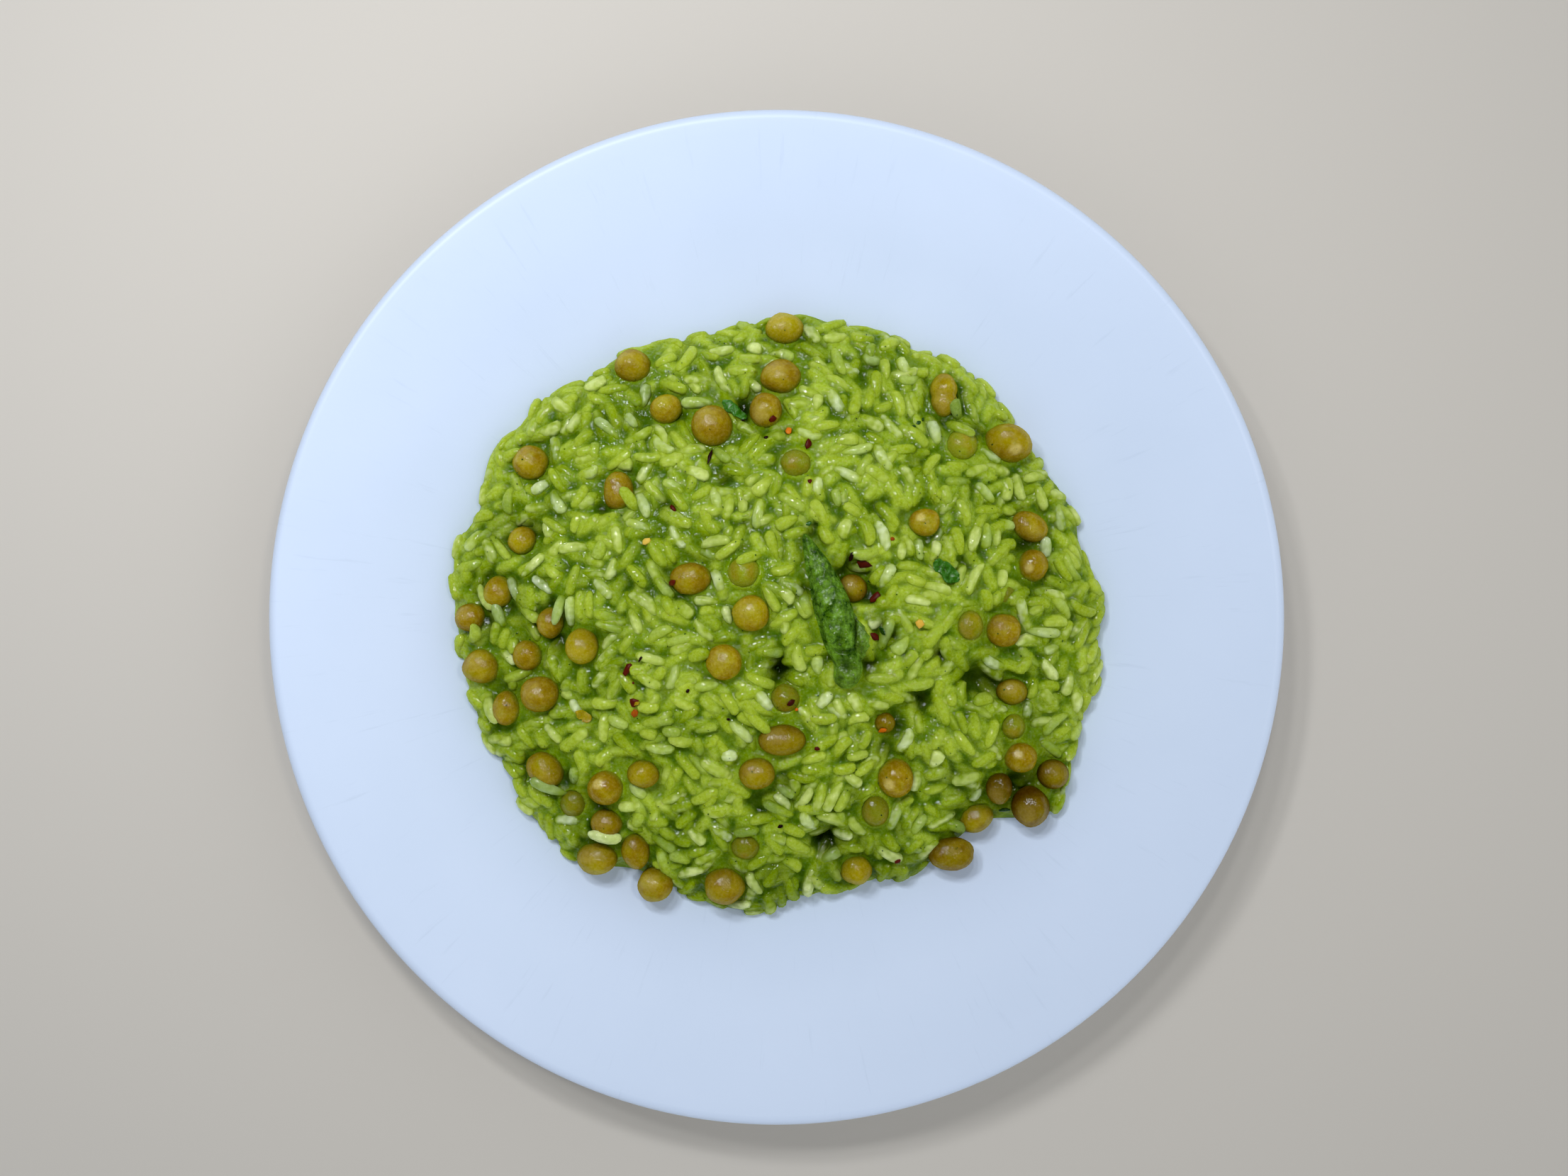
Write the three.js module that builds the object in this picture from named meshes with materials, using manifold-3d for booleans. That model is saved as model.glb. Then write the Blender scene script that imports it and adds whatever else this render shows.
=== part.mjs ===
// Pea risotto served on a shallow coupe plate.
// Millimetres, +Z up. The origin is the centre of the plate's foot, on the table.
// The rice and its sauce are one heap; every pea and the asparagus tip lie in a
// pocket of their own in it.

import * as THREE from 'three';
import { mergeVertices } from 'three/addons/utils/BufferGeometryUtils.js';
import { ConvexHull } from 'three/addons/math/ConvexHull.js';
import Module from 'manifold-3d';

const wasm = await Module();
wasm.setup();

const { cos, sin, sqrt, hypot, atan2, min, max, PI } = Math;
const radians = THREE.MathUtils.degToRad;

// Plate
const plateRadius = 135;
const wallThickness = 4.5;
const floorRadius = 70;
const floorHeight = 6;
const curveRadius = 105;
const rimSlope = radians(19.5);
const footOuterRadius = 82;
const footInnerRadius = 77.5;
const footRise = 1.8;
const footFillet = 0.8;
const plateSegments = 56;

// Heap of rice and sauce
const clearance = 0.3;
const pocketRoom = 0.36;
const peakDepth = 20.5;
const edgeDepth = 5;
const shoulderWidth = 5;
const crownPower = 2.2;
const edgeSteps = 76;
const edgeWobble = 0.8;
const ringInsets = [0.4, 1.8, shoulderWidth];
// Slow waves over the top: a cross pattern and a slanting one, rise and length over 2 pi
const crossWave = { rise: 0.6, alongX: 9.5, alongY: 8 };
const slantWave = { rise: 0.4, along: 5.2 };
const waveInset = 20;
// Edge of the heap on the plate: angle in degrees from +X, radius
const heapEdge = [
  [0, 89], [15, 86], [30, 84], [50, 85], [65, 83], [90, 82], [105, 79.5], [125, 84],
  [150, 89.5], [160, 87.5], [170, 89], [190, 88], [208, 85.5], [228, 87], [243, 80.5],
  [262, 81], [281, 77], [300, 80], [314, 79.5], [328, 91], [342, 88.5],
];
// Hollows in the heap: centre, half sizes along and across, turn in degrees, depth
const hollows = [
  { x: 54.5, y: -17, along: 8, across: 4.5, turn: -12, depth: 5 },
  { x: 36, y: -24, along: 9, across: 6, turn: 20, depth: 4.5 },
  { x: 42.8, y: -9.8, along: 3, across: 3, turn: 0, depth: 3 },
  { x: 25, y: -13.5, along: 5, across: 3.5, turn: 70, depth: 3.5 },
  { x: 0.5, y: -13, along: 4.5, across: 3, turn: 90, depth: 3 },
  { x: 21.5, y: 10, along: 6, across: 4.5, turn: -60, depth: 2.2 },
  { x: 13, y: -61, along: 7, across: 4, turn: 10, depth: 2.5 },
  { x: -5, y: -49.5, along: 7, across: 4, turn: 0, depth: 1.5 },
];

// Grains of rice raised on the heap, and the sauce between them
const grainSpots = 600;
const grainLength = [6.8, 8.6];
const grainWidth = [2.8, 3.3];
const grainRise = 0.9;
const grainTurns = 6;
const sauceSink = 0.6;
const sauceSpots = 450;
const sauceRoom = 2.6;
const spotSpread = 2;
const seed = 7;
// Corners of a grain seen from above, as shares of its length and width:
// eight round its foot in the sauce and three raised along its back
const grainFoot = [
  [-0.5, 0], [-0.36, -0.44], [0, -0.5], [0.36, -0.44], [0.5, 0], [0.36, 0.44], [0, 0.5], [-0.36, 0.44],
];
const grainBack = [[-0.3, 0], [0, 0], [0.3, 0]];

// Peas: centre x and y, size along and across, turn in degrees,
// and how far the middle lies below the heap's surface
const peaSides = 8;
const peaRings = 4;
const peaDepthShare = 0.94;
const facetGrowth = 1.03;
// Section of a pea's pocket as shares of the pea's size: a straight wall with a cone below
const pocketSection = [[0, -0.6], [0.5, -0.3], [0.5, 0.65], [0, 0.65]];
const peas = [
  [1.9, 78.3, 10.7, 9, 0, 0.5], [-39.1, 68.1, 9.8, 9.3, 0, 0.5], [1.1, 64.4, 11, 9.2, 0, 0.8],
  [-29.8, 55.9, 9.1, 8, 0, 0.8], [-17.2, 51, 11.4, 11.4, 0, 0.6], [-3, 55.1, 9, 9.8, 0, 0.8],
  [45.2, 59.7, 12.2, 8.3, 92, 0.6], [62.8, 47.2, 12.9, 11, -15, 0.3], [49.8, 46.2, 9.2, 9, 0, 1.6],
  [-66.4, 41.4, 9.8, 9.4, 0, 0.8], [-42, 33.5, 10.3, 8.5, 90, 1], [5.1, 40.6, 8.8, 7.6, 0, 1.8],
  [39.1, 25.1, 8.6, 7.6, 0, 1.4], [68.3, 24.4, 11, 7.8, -28, 0.6], [69, 13.8, 8.8, 8.2, 70, 0.6],
  [-68.8, 20.6, 7.8, 7.6, 0, 2], [-22.6, 10.2, 11.4, 8.6, 0, 0.8], [-8.5, 12, 9, 8.8, 0, 1.8],
  [20.1, 7.6, 8, 7.8, 0, 2.2], [-6.6, 1.2, 10, 9.8, 0, 0.4], [-83.3, -0.3, 8.4, 8.2, 0, 0.8],
  [-75.6, 6.6, 9.2, 8.2, 60, 1.8], [-60.5, -1.5, 8.5, 7.6, 90, 2], [-51.4, -7.8, 9.5, 8.9, 90, 0.6],
  [-13.8, -11.6, 9.6, 9.5, 0, 0.6], [50.9, -2.2, 8.4, 7.5, 80, 1], [60.3, -3.5, 9.6, 9.2, 0, 0.6],
  [-80.2, -13.6, 10.4, 9.2, 0, 0.6], [-67, -10.4, 8.2, 8, 0, 1.2], [-63.6, -20.7, 10.4, 10, 0, 0.4],
  [-73.2, -24.6, 9.8, 7.6, 80, 1], [63.4, -20.2, 8.4, 7.2, 0, 1.2], [2.2, -21.2, 8.4, 8, 0, 2.2],
  [63.6, -29.6, 7.6, 7, 90, 2.2], [28.6, -27.9, 5.6, 5.4, 0, 0.4], [1.5, -32.2, 13.2, 8.2, 0, 0.8],
  [-5.2, -41.2, 9.8, 8.6, 0, 0.6], [31.6, -42.9, 11, 10, 80, 0.4], [65.7, -37.9, 8.8, 8, 0, 0],
  [74.9, -42.7, 8.8, 8.2, 0, 1], [60.2, -46.3, 8.8, 7.4, 90, 1.4], [68.9, -51.6, 11.2, 10.4, 80, 1.4],
  [26.2, -51.6, 9.2, 8, 90, 1.8], [54.4, -55, 10.2, 8, 38, 1], [-62.5, -41.3, 10.8, 9, -30, 0.8],
  [-45.8, -45.6, 10, 9.4, 0, 0.4], [-35.6, -41.7, 8.8, 7.6, 0, 1], [-55, -50.2, 8.2, 7.6, 90, 1.8],
  [-46, -55.6, 8.8, 7.8, 0, 0.8], [-49, -65.8, 11.8, 9, 0, 0.6], [-38.4, -63.6, 10.2, 7.8, 90, 0.8],
  [-8.4, -61.6, 8.4, 7.6, 0, 1.8], [-33.1, -73.2, 9.8, 9.4, 0, 0.6], [-14.3, -73, 11.2, 10.4, 0, 0.6],
  [21.6, -69, 8.5, 8, 0, 1], [47.6, -64.7, 13, 9.6, 0, 0.6],
];

// Asparagus tip: stations from the point to the cut end, x, y and full width
const tipStations = [
  [7.5, 21.9, 0.6], [8.2, 19.6, 2.8], [9.4, 16.6, 4.8], [11.2, 12.4, 7.4], [13, 6.6, 9.4],
  [14.9, 0.6, 10.6], [16.6, -5.4, 10.2], [17.9, -10.9, 9], [18.6, -15, 7.2], [18.8, -17.6, 4.6],
];
const tipSides = 12;
const tipThicknessShare = 0.78;
const tipSink = -0.8;
const bractRelief = 0.07;
// A loose bract that stands out at the side near the cut end
const sideBract = { x: 21.1, y: -6.4, length: 12.5, width: 5.6, depth: 5, turn: -68, lift: 0.6 };

// Chilli flakes large enough to show: x, y, length, width, turn in degrees
const flakeThickness = 1.4;
const flakes = [
  [23, 14.2, 4.2, 2.3, -10], [26, 4.6, 3.5, 2.8, 50], [26.4, -5.6, 2.9, 2, -35],
  [-37.3, -23, 5.4, 3, 80], [-39, -13.9, 4, 2.3, 65], [-17.6, 42.2, 4.4, 1.2, 75],
  [8.6, 46.9, 3, 2.2, 60], [-27, 28.5, 2.8, 1.2, -60], [36.4, -1.6, 2.6, 2.4, 0],
  [-34, 20, 3, 2, 0], [45.3, 12.8, 6, 3.4, -55], [30.2, 17.6, 2, 1.6, 20],
];

function seededRandom(start) {
  let state = start;
  return () => {
    state = (state + 0x6d2b79f5) | 0;
    let mixed = Math.imul(state ^ (state >>> 15), state | 1);
    mixed ^= mixed + Math.imul(mixed ^ (mixed >>> 7), mixed | 61);
    return ((mixed ^ (mixed >>> 14)) >>> 0) / 4294967296;
  };
}

const smooth = (share) => share * share * (3 - 2 * share);
const between = ([low, high], share) => low + (high - low) * share;

// Height of the plate's upper face: flat floor, arc, then a straight slope
const curveEnd = floorRadius + curveRadius * sin(rimSlope);
function plateTop(radius) {
  if (radius <= floorRadius) return floorHeight;
  if (radius > curveEnd) return plateTop(curveEnd) + (radius - curveEnd) * Math.tan(rimSlope);
  return floorHeight + curveRadius - sqrt(curveRadius ** 2 - (radius - floorRadius) ** 2);
}

// Section of the plate from the middle of its floor over the lip to the middle below
function platePoints() {
  const lipRadius = wallThickness / 2;
  const lipCentre = plateRadius - lipRadius;
  const lipTopRadius = lipCentre - lipRadius * sin(rimSlope);
  const lipHeight = plateTop(lipTopRadius) - lipRadius * cos(rimSlope);
  const underRadius = curveRadius + wallThickness;
  const under = (angle) => [
    floorRadius + underRadius * sin(angle),
    floorHeight + curveRadius - underRadius * cos(angle),
  ];
  const footTopAngle = Math.asin((footOuterRadius + footFillet - floorRadius) / underRadius);
  const points = [[0, floorHeight]];
  for (const share of [0, 0.34, 0.67, 1]) {
    const radius = floorRadius + curveRadius * sin(rimSlope * share);
    points.push([radius, plateTop(radius)]);
  }
  for (const turn of [0, 0.33, 0.67, 1]) {
    const angle = PI / 2 + rimSlope - PI * turn;
    points.push([lipCentre + lipRadius * cos(angle), lipHeight + lipRadius * sin(angle)]);
  }
  points.push(under(rimSlope), under(rimSlope * 0.66), under(footTopAngle));
  points.push([footOuterRadius, 0], [footInnerRadius, 0]);
  points.push([footInnerRadius - 2 * footFillet, footRise], [0, footRise]);
  return points.reverse().map(([radius, height]) => new THREE.Vector2(radius, height));
}

// Edge radius of the heap at an angle, eased from one listed angle to the next,
// with a small wobble where grains lie at the edge
function edgeRadius(angle) {
  const degrees = THREE.MathUtils.euclideanModulo(THREE.MathUtils.radToDeg(angle), 360);
  const next = heapEdge.findIndex(([listed]) => listed > degrees);
  const [endAngle, endRadius] = next < 0 ? [360, heapEdge[0][1]] : heapEdge[next];
  const [startAngle, startRadius] = heapEdge[next < 0 ? heapEdge.length - 1 : next - 1];
  const share = (degrees - startAngle) / (endAngle - startAngle);
  const wobble = edgeWobble * sin(17 * angle + 2 * sin(5 * angle));
  return between([startRadius, endRadius], smooth(share)) + wobble;
}

// Mean height of the rice and sauce: a low crown with a round shoulder at the edge,
// slow waves and the listed hollows
function heapHeight(x, y) {
  const radius = hypot(x, y);
  const edge = edgeRadius(atan2(y, x));
  const inset = max(edge - radius, 0);
  const crown = edgeDepth + (peakDepth - edgeDepth) * (1 - min(radius / edge, 1) ** crownPower);
  const shoulder = inset < shoulderWidth ? sqrt(1 - (1 - inset / shoulderWidth) ** 2) : 1;
  const cross = crossWave.rise * sin(x / crossWave.alongX + 1) * cos(y / crossWave.alongY - 0.5);
  const waves = cross + slantWave.rise * sin((x + y) / slantWave.along);
  let height = plateTop(radius) + crown * shoulder + waves * smooth(min(inset / waveInset, 1));
  for (const hollow of hollows) {
    const turn = radians(hollow.turn);
    const along = ((x - hollow.x) * cos(turn) + (y - hollow.y) * sin(turn)) / hollow.along;
    const across = ((y - hollow.y) * cos(turn) - (x - hollow.x) * sin(turn)) / hollow.across;
    height -= hollow.depth * Math.exp(-along * along - across * across);
  }
  return height;
}

// Points spread evenly over the heap by the golden angle, each moved a little at random
function evenSpots(count, inset, random) {
  const goldenAngle = PI * (3 - sqrt(5));
  const offset = () => (random() - 0.5) * spotSpread;
  return Array.from({ length: count }, (unused, i) => {
    const angle = i * goldenAngle;
    const reach = sqrt((i + 0.5) / count) * (edgeRadius(angle) - inset);
    return [reach * cos(angle) + offset(), reach * sin(angle) + offset()];
  });
}

// Shortest way across from a point to the side of the asparagus tip
function roomToTip(x, y) {
  const rooms = tipStations.slice(1).map(([endX, endY, width], i) => {
    const [startX, startY] = tipStations[i];
    const [runX, runY] = [endX - startX, endY - startY];
    const share = ((x - startX) * runX + (y - startY) * runY) / (runX ** 2 + runY ** 2);
    const held = min(max(share, 0), 1);
    return hypot(x - startX - held * runX, y - startY - held * runY) - width / 2;
  });
  const bractRoom = hypot(x - sideBract.x, y - sideBract.y) - sideBract.length / 2;
  return min(bractRoom, ...rooms);
}

// Room between a point and the nearest topping
function roomToToppings(x, y) {
  const peaRooms = peas.map(([px, py, length, width]) => hypot(x - px, y - py) - (length + width) / 4);
  const flakeRooms = flakes.map(([fx, fy, length]) => hypot(x - fx, y - fy) - length / 2);
  return min(roomToTip(x, y), ...peaRooms, ...flakeRooms);
}

// Grains that lie clear of each other and of the toppings: one that would cross
// is turned, and left out when no turn is clear
function placeGrains() {
  const random = seededRandom(seed);
  const shares = [-0.5, -0.25, 0, 0.25, 0.5];
  const taken = [];
  const grains = [];
  for (const [x, y] of evenSpots(grainSpots, shoulderWidth + 1.5, random)) {
    const length = between(grainLength, random());
    const width = between(grainWidth, random());
    const firstTurn = random() * PI;
    for (let i = 0; i < grainTurns; i += 1) {
      const turn = firstTurn + (i * PI) / grainTurns;
      const line = shares.map((share) => [x + share * length * cos(turn), y + share * length * sin(turn)]);
      const clear = line.every(([px, py]) => (
        roomToToppings(px, py) > width / 2 + 2 * clearance
        && taken.every(([tx, ty]) => hypot(px - tx, py - ty) > width + clearance)
      ));
      if (clear) {
        taken.push(...line);
        grains.push({ x, y, length, width, turn });
        break;
      }
    }
  }
  return { grains, taken };
}

// Corners of the heap's upper face: rings round the shoulder, the grains,
// and the sauce where neither a grain nor a topping lies
function surfaceCorners() {
  const corners = [];
  const add = (x, y, lift) => corners.push([x, y, heapHeight(x, y) + lift]);
  for (const inset of ringInsets) {
    for (let i = 0; i < edgeSteps; i += 1) {
      const angle = (2 * PI * i) / edgeSteps;
      const reach = edgeRadius(angle) - inset;
      add(reach * cos(angle), reach * sin(angle), 0);
    }
  }
  const { grains, taken } = placeGrains();
  for (const { x, y, length, width, turn } of grains) {
    const place = (lift) => ([along, across]) => add(
      x + along * length * cos(turn) - across * width * sin(turn),
      y + along * length * sin(turn) + across * width * cos(turn),
      lift,
    );
    grainFoot.forEach(place(-sauceSink));
    grainBack.forEach(place(grainRise));
  }
  const random = seededRandom(seed + 1);
  for (const [x, y] of evenSpots(sauceSpots, shoulderWidth + 2.5, random)) {
    const room = min(...taken.map(([tx, ty]) => hypot(x - tx, y - ty)));
    if (room > sauceRoom && roomToToppings(x, y) > -1) add(x, y, -sauceSink);
  }
  return corners;
}

// Delaunay triangles of corners seen from above: the lower hull of the same
// points lifted onto a paraboloid
function triangulate(corners) {
  const numbers = new Map();
  const lifted = corners.map(([x, y], i) => {
    const point = new THREE.Vector3(x, y, (x * x + y * y) / plateRadius);
    numbers.set(point, i);
    return point;
  });
  const { faces } = new ConvexHull().setFromPoints(lifted);
  return faces.filter((face) => face.normal.z < 0).map(({ edge }) => (
    [edge.prev, edge, edge.next].map((side) => numbers.get(side.head().point)).reverse()
  ));
}

// Heap without its pockets: the upper face, a side down to the plate and an
// underside that follows the plate's face
function heapBody() {
  const foot = Array.from({ length: edgeSteps }, (unused, i) => {
    const angle = (2 * PI * i) / edgeSteps;
    const edge = edgeRadius(angle);
    return [edge * cos(angle), edge * sin(angle), plateTop(edge) + clearance + 0.2];
  });
  const corners = [...foot, ...surfaceCorners()];
  const inside = (face) => {
    const [x, y] = [0, 1].map((axis) => face.reduce((sum, corner) => sum + corners[corner][axis] / 3, 0));
    const step = Math.floor((THREE.MathUtils.euclideanModulo(atan2(y, x), 2 * PI) * edgeSteps) / (2 * PI));
    const [[startX, startY], [endX, endY]] = [foot[step % edgeSteps], foot[(step + 1) % edgeSteps]];
    return (endX - startX) * (y - startY) > (endY - startY) * (x - startX);
  };
  const faces = triangulate(corners).filter(inside);
  const inner = foot.map(([x, y]) => {
    const share = floorRadius / hypot(x, y);
    return corners.push([x * share, y * share, floorHeight + clearance]) - 1;
  });
  const middle = corners.push([0, 0, floorHeight + clearance]) - 1;
  inner.forEach((corner, i) => {
    const next = (i + 1) % edgeSteps;
    faces.push([next, i, corner], [next, corner, inner[next]], [inner[next], corner, middle]);
  });
  return indexed(corners, faces);
}

function indexed(corners, faces) {
  const geometry = new THREE.BufferGeometry();
  geometry.setAttribute('position', new THREE.Float32BufferAttribute(corners.flat(), 3));
  geometry.setIndex(faces.flat());
  return geometry;
}

// Closed ball with few sides, stretched to its sizes
function ellipsoid(length, width, depth, sides, rings) {
  return new THREE.SphereGeometry(0.5, sides, rings).rotateX(PI / 2).scale(length, width, depth);
}

// Puts a shape of unit size where a pea lies, stretched to the pea's sizes and a margin
function placeAtPea(shape, [x, y, length, width, turn, sink], margin) {
  const depth = min(length, width) * peaDepthShare;
  const lowest = plateTop(hypot(x, y) + 1.5) + depth / 2 + 2 * clearance;
  const height = max(heapHeight(x, y) - sink, lowest);
  const sizes = [length, width, depth].map((size) => size * facetGrowth + 2 * margin);
  return shape.scale(...sizes).rotateZ(radians(turn)).translate(x, y, height);
}

const peaShape = (pea) => placeAtPea(ellipsoid(1, 1, 1, peaSides, peaRings), pea, 0);

function pocketShape(pea) {
  const profile = pocketSection.map((point) => new THREE.Vector2(...point));
  return placeAtPea(new THREE.LatheGeometry(profile, peaSides).rotateX(PI / 2), pea, pocketRoom);
}

// Middle height of the asparagus tip, which slopes with the heap from point to cut end
function tipHeight(x, y) {
  const [[startX, startY], [endX, endY]] = [tipStations[2], tipStations[8]];
  const share = (y - endY) / (startY - endY);
  return between([heapHeight(endX, endY), heapHeight(startX, startY)], share) - tipSink;
}

// Body of the asparagus tip: an oval section carried from point to cut end,
// raised in ridges over the top where the bracts overlap
function tipBody(grow) {
  const relief = grow > 0 ? 0 : bractRelief;
  const corners = [];
  const faces = [];
  const last = tipStations.length - 1;
  tipStations.forEach(([x, y, width], station) => {
    const [fromX, fromY] = tipStations[max(station - 1, 0)];
    const [toX, toY] = tipStations[min(station + 1, last)];
    const heading = atan2(toY - fromY, toX - fromX);
    for (let side = 0; side < tipSides; side += 1) {
      const angle = (2 * PI * side) / tipSides;
      const ridge = sin(angle) > 0.2 ? cos(3 * angle + station * 1.1) : 0;
      const half = (width / 2 + grow) * (1 + relief * ridge);
      corners.push([
        x + half * cos(angle) * sin(heading),
        y - half * cos(angle) * cos(heading),
        tipHeight(x, y) + half * sin(angle) * tipThicknessShare,
      ]);
    }
  });
  for (let side = 0; side < tipSides; side += 1) {
    const next = (side + 1) % tipSides;
    for (let start = 0; start < last * tipSides; start += tipSides) {
      const [p, q] = [start + side, start + next];
      faces.push([q, p, p + tipSides], [q, p + tipSides, q + tipSides]);
    }
  }
  [0, last].forEach((station) => {
    const [x, y] = tipStations[station];
    const middle = corners.push([x, y, tipHeight(x, y)]) - 1;
    for (let side = 0; side < tipSides; side += 1) {
      const [p, q] = [station * tipSides + side, station * tipSides + ((side + 1) % tipSides)];
      faces.push(station === 0 ? [p, q, middle] : [q, p, middle]);
    }
  });
  return indexed(corners, faces);
}

function tipSolid(grow) {
  const { x, y, length, width, depth, turn, lift } = sideBract;
  const bract = ellipsoid(length + 2 * grow, width + 2 * grow, depth + 2 * grow, 8, 6)
    .rotateZ(radians(turn))
    .translate(x, y, tipHeight(x, y) + lift);
  return toSolid(tipBody(grow)).add(toSolid(bract));
}

// A flake of chilli, herb or seed: a thin four-sided chip lying in the sauce
function flakeShape([x, y, length, width, turn]) {
  return new THREE.CylinderGeometry(0.5, 0.42, flakeThickness, 4)
    .rotateX(PI / 2)
    .scale(length, width, 1)
    .rotateZ(radians(turn))
    .translate(x, y, heapHeight(x, y) - sauceSink + flakeThickness * 0.3);
}

function toSolid(geometry) {
  const bare = geometry.clone();
  bare.deleteAttribute('normal');
  bare.deleteAttribute('uv');
  const merged = mergeVertices(bare, 1e-4);
  return new wasm.Manifold(new wasm.Mesh({
    numProp: 3,
    vertProperties: new Float32Array(merged.attributes.position.array),
    triVerts: new Uint32Array(merged.index.array),
  }));
}

function toGeometry(solid) {
  const mesh = solid.getMesh();
  const geometry = new THREE.BufferGeometry();
  geometry.setAttribute('position', new THREE.BufferAttribute(mesh.vertProperties, 3));
  geometry.setIndex(new THREE.BufferAttribute(mesh.triVerts, 1));
  geometry.computeVertexNormals();
  return geometry;
}

// The heap with its pockets cut and its flakes joined on, without loose scraps
function heapSolid() {
  const pockets = peas.map((pea) => toSolid(pocketShape(pea)));
  pockets.push(tipSolid(pocketRoom));
  const core = wasm.Manifold.difference([toSolid(heapBody()), ...pockets]);
  const whole = wasm.Manifold.union([core, ...flakes.map((flake) => toSolid(flakeShape(flake)))]);
  return whole.decompose().sort((first, second) => second.volume() - first.volume())[0];
}

function addPiece(group, name, geometry, material) {
  const mesh = new THREE.Mesh(geometry, material);
  mesh.name = name;
  group.add(mesh);
}

const glaze = new THREE.MeshStandardMaterial({ color: '#ccd7e6', roughness: 0.42, metalness: 0 });
const rice = new THREE.MeshStandardMaterial({ color: '#8fa53a', roughness: 0.35, metalness: 0 });
const peaSkin = new THREE.MeshStandardMaterial({ color: '#8a7428', roughness: 0.4, metalness: 0 });
const stalk = new THREE.MeshStandardMaterial({ color: '#3f6e2a', roughness: 0.35, metalness: 0 });

const group = new THREE.Group();
addPiece(group, 'plate', new THREE.LatheGeometry(platePoints(), plateSegments).rotateX(PI / 2), glaze);
addPiece(group, 'risotto', toGeometry(heapSolid()), rice);
peas.forEach((pea, i) => {
  addPiece(group, `pea_${String(i + 1).padStart(2, '0')}`, peaShape(pea), peaSkin);
});
addPiece(group, 'asparagus_tip', toGeometry(tipSolid(0)), stalk);

export default group;
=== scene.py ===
import math

import bpy
import numpy as np
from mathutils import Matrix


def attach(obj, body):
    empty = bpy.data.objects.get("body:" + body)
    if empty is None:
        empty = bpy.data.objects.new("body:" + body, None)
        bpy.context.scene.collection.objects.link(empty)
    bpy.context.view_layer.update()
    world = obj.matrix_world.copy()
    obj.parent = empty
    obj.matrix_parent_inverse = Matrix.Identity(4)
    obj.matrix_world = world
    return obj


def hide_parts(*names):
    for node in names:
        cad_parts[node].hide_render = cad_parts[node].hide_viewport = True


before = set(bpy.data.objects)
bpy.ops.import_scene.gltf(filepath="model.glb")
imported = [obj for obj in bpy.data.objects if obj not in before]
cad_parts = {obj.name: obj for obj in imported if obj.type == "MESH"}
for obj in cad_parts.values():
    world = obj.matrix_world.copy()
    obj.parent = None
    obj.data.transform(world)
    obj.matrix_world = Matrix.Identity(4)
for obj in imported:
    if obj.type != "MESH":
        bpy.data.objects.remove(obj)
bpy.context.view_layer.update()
print("frame loaded:", len(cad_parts), "nodes")

mm = 0.001  # every size below is in millimetres and turned to metres when a mesh is made
pi = math.pi


def smooth(share):
    share = np.clip(share, 0, 1)
    return share * share * (3 - 2 * share)


def softMax(low, high, width):
    # the larger of two heights, rounded by a fillet where they differ by less than width
    share = np.clip(0.5 + 0.5 * (high - low) / width, 0, 1)
    return low * (1 - share) + high * share + width * share * (1 - share)


def latticeNoise(x, y, size, seed):
    # random numbers from -1 to 1 at the corners of a square lattice, eased from corner to corner
    lattice = np.random.default_rng(seed).uniform(-1, 1, (64, 64))
    column, row = np.floor(x / size).astype(int), np.floor(y / size).astype(int)
    shareX, shareY = smooth(x / size - column), smooth(y / size - row)
    i, j, besideI, besideJ = column % 64, row % 64, (column + 1) % 64, (row + 1) % 64
    near = lattice[i, j] * (1 - shareX) + lattice[besideI, j] * shareX
    far = lattice[i, besideJ] * (1 - shareX) + lattice[besideI, besideJ] * shareX
    return near * (1 - shareY) + far * shareY


def latticeSum(x, y, listed):
    # sum of lattice noises, each listed as size, height and seed
    return sum(height * latticeNoise(x, y, size, seed) for size, height, seed in listed)


def turned(x, y, angle):
    # x and y turned by an angle
    c, s = np.cos(angle), np.sin(angle)
    return x * c - y * s, x * s + y * c


def blurred(raster, radius):
    # Gaussian blur of a raster by way of the Fourier transform, radius in millimetres
    rows, columns = np.fft.fftfreq(raster.shape[0])[:, None], np.fft.rfftfreq(raster.shape[1])[None, :]
    weight = np.exp(-2 * (pi * radius / heap["rasterStep"]) ** 2 * (rows ** 2 + columns ** 2))
    return np.fft.irfft2(np.fft.rfft2(raster) * weight, raster.shape)


def linear(hexColor):
    # sRGB hex to linear red, green, blue and alpha
    parts = [int(hexColor[i:i + 2], 16) / 255 for i in (1, 3, 5)]
    return [c / 12.92 if c <= 0.04045 else ((c + 0.055) / 1.055) ** 2.4 for c in parts] + [1]


def addNode(tree, kind, inputs={}, **settings):
    # each input is a socket to link, a colour in sRGB hex or a plain value
    node = tree.nodes.new(kind)
    for name, value in settings.items():
        setattr(node, name, value)
    for name, value in inputs.items():
        if isinstance(value, bpy.types.NodeSocket):
            tree.links.new(value, node.inputs[name])
        else:
            node.inputs[name].default_value = linear(value) if isinstance(value, str) else value
    return node


def ringAngles(count):
    return np.arange(count) * 2 * pi / count


def gridQuads(rows, columns):
    # quads between rings of corners numbered ring by ring
    row, column = np.meshgrid(np.arange(rows - 1), np.arange(columns), indexing="ij")
    low, high = row * columns, (row + 1) * columns
    beside = (column + 1) % columns
    return np.stack([low + column, low + beside, high + beside, high + column], -1).reshape(-1, 4)


def capFans(rows, columns):
    # triangles to two poles numbered after the rings: the first ring's, and the last ring's
    ring, beside = np.arange(columns), (np.arange(columns) + 1) % columns
    last = (rows - 1) * columns
    pole = np.full(columns, rows * columns)
    start = np.stack([pole, beside, ring], -1)
    end = np.stack([pole + 1, last + ring, last + beside], -1)
    return np.concatenate([start, end])


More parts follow.
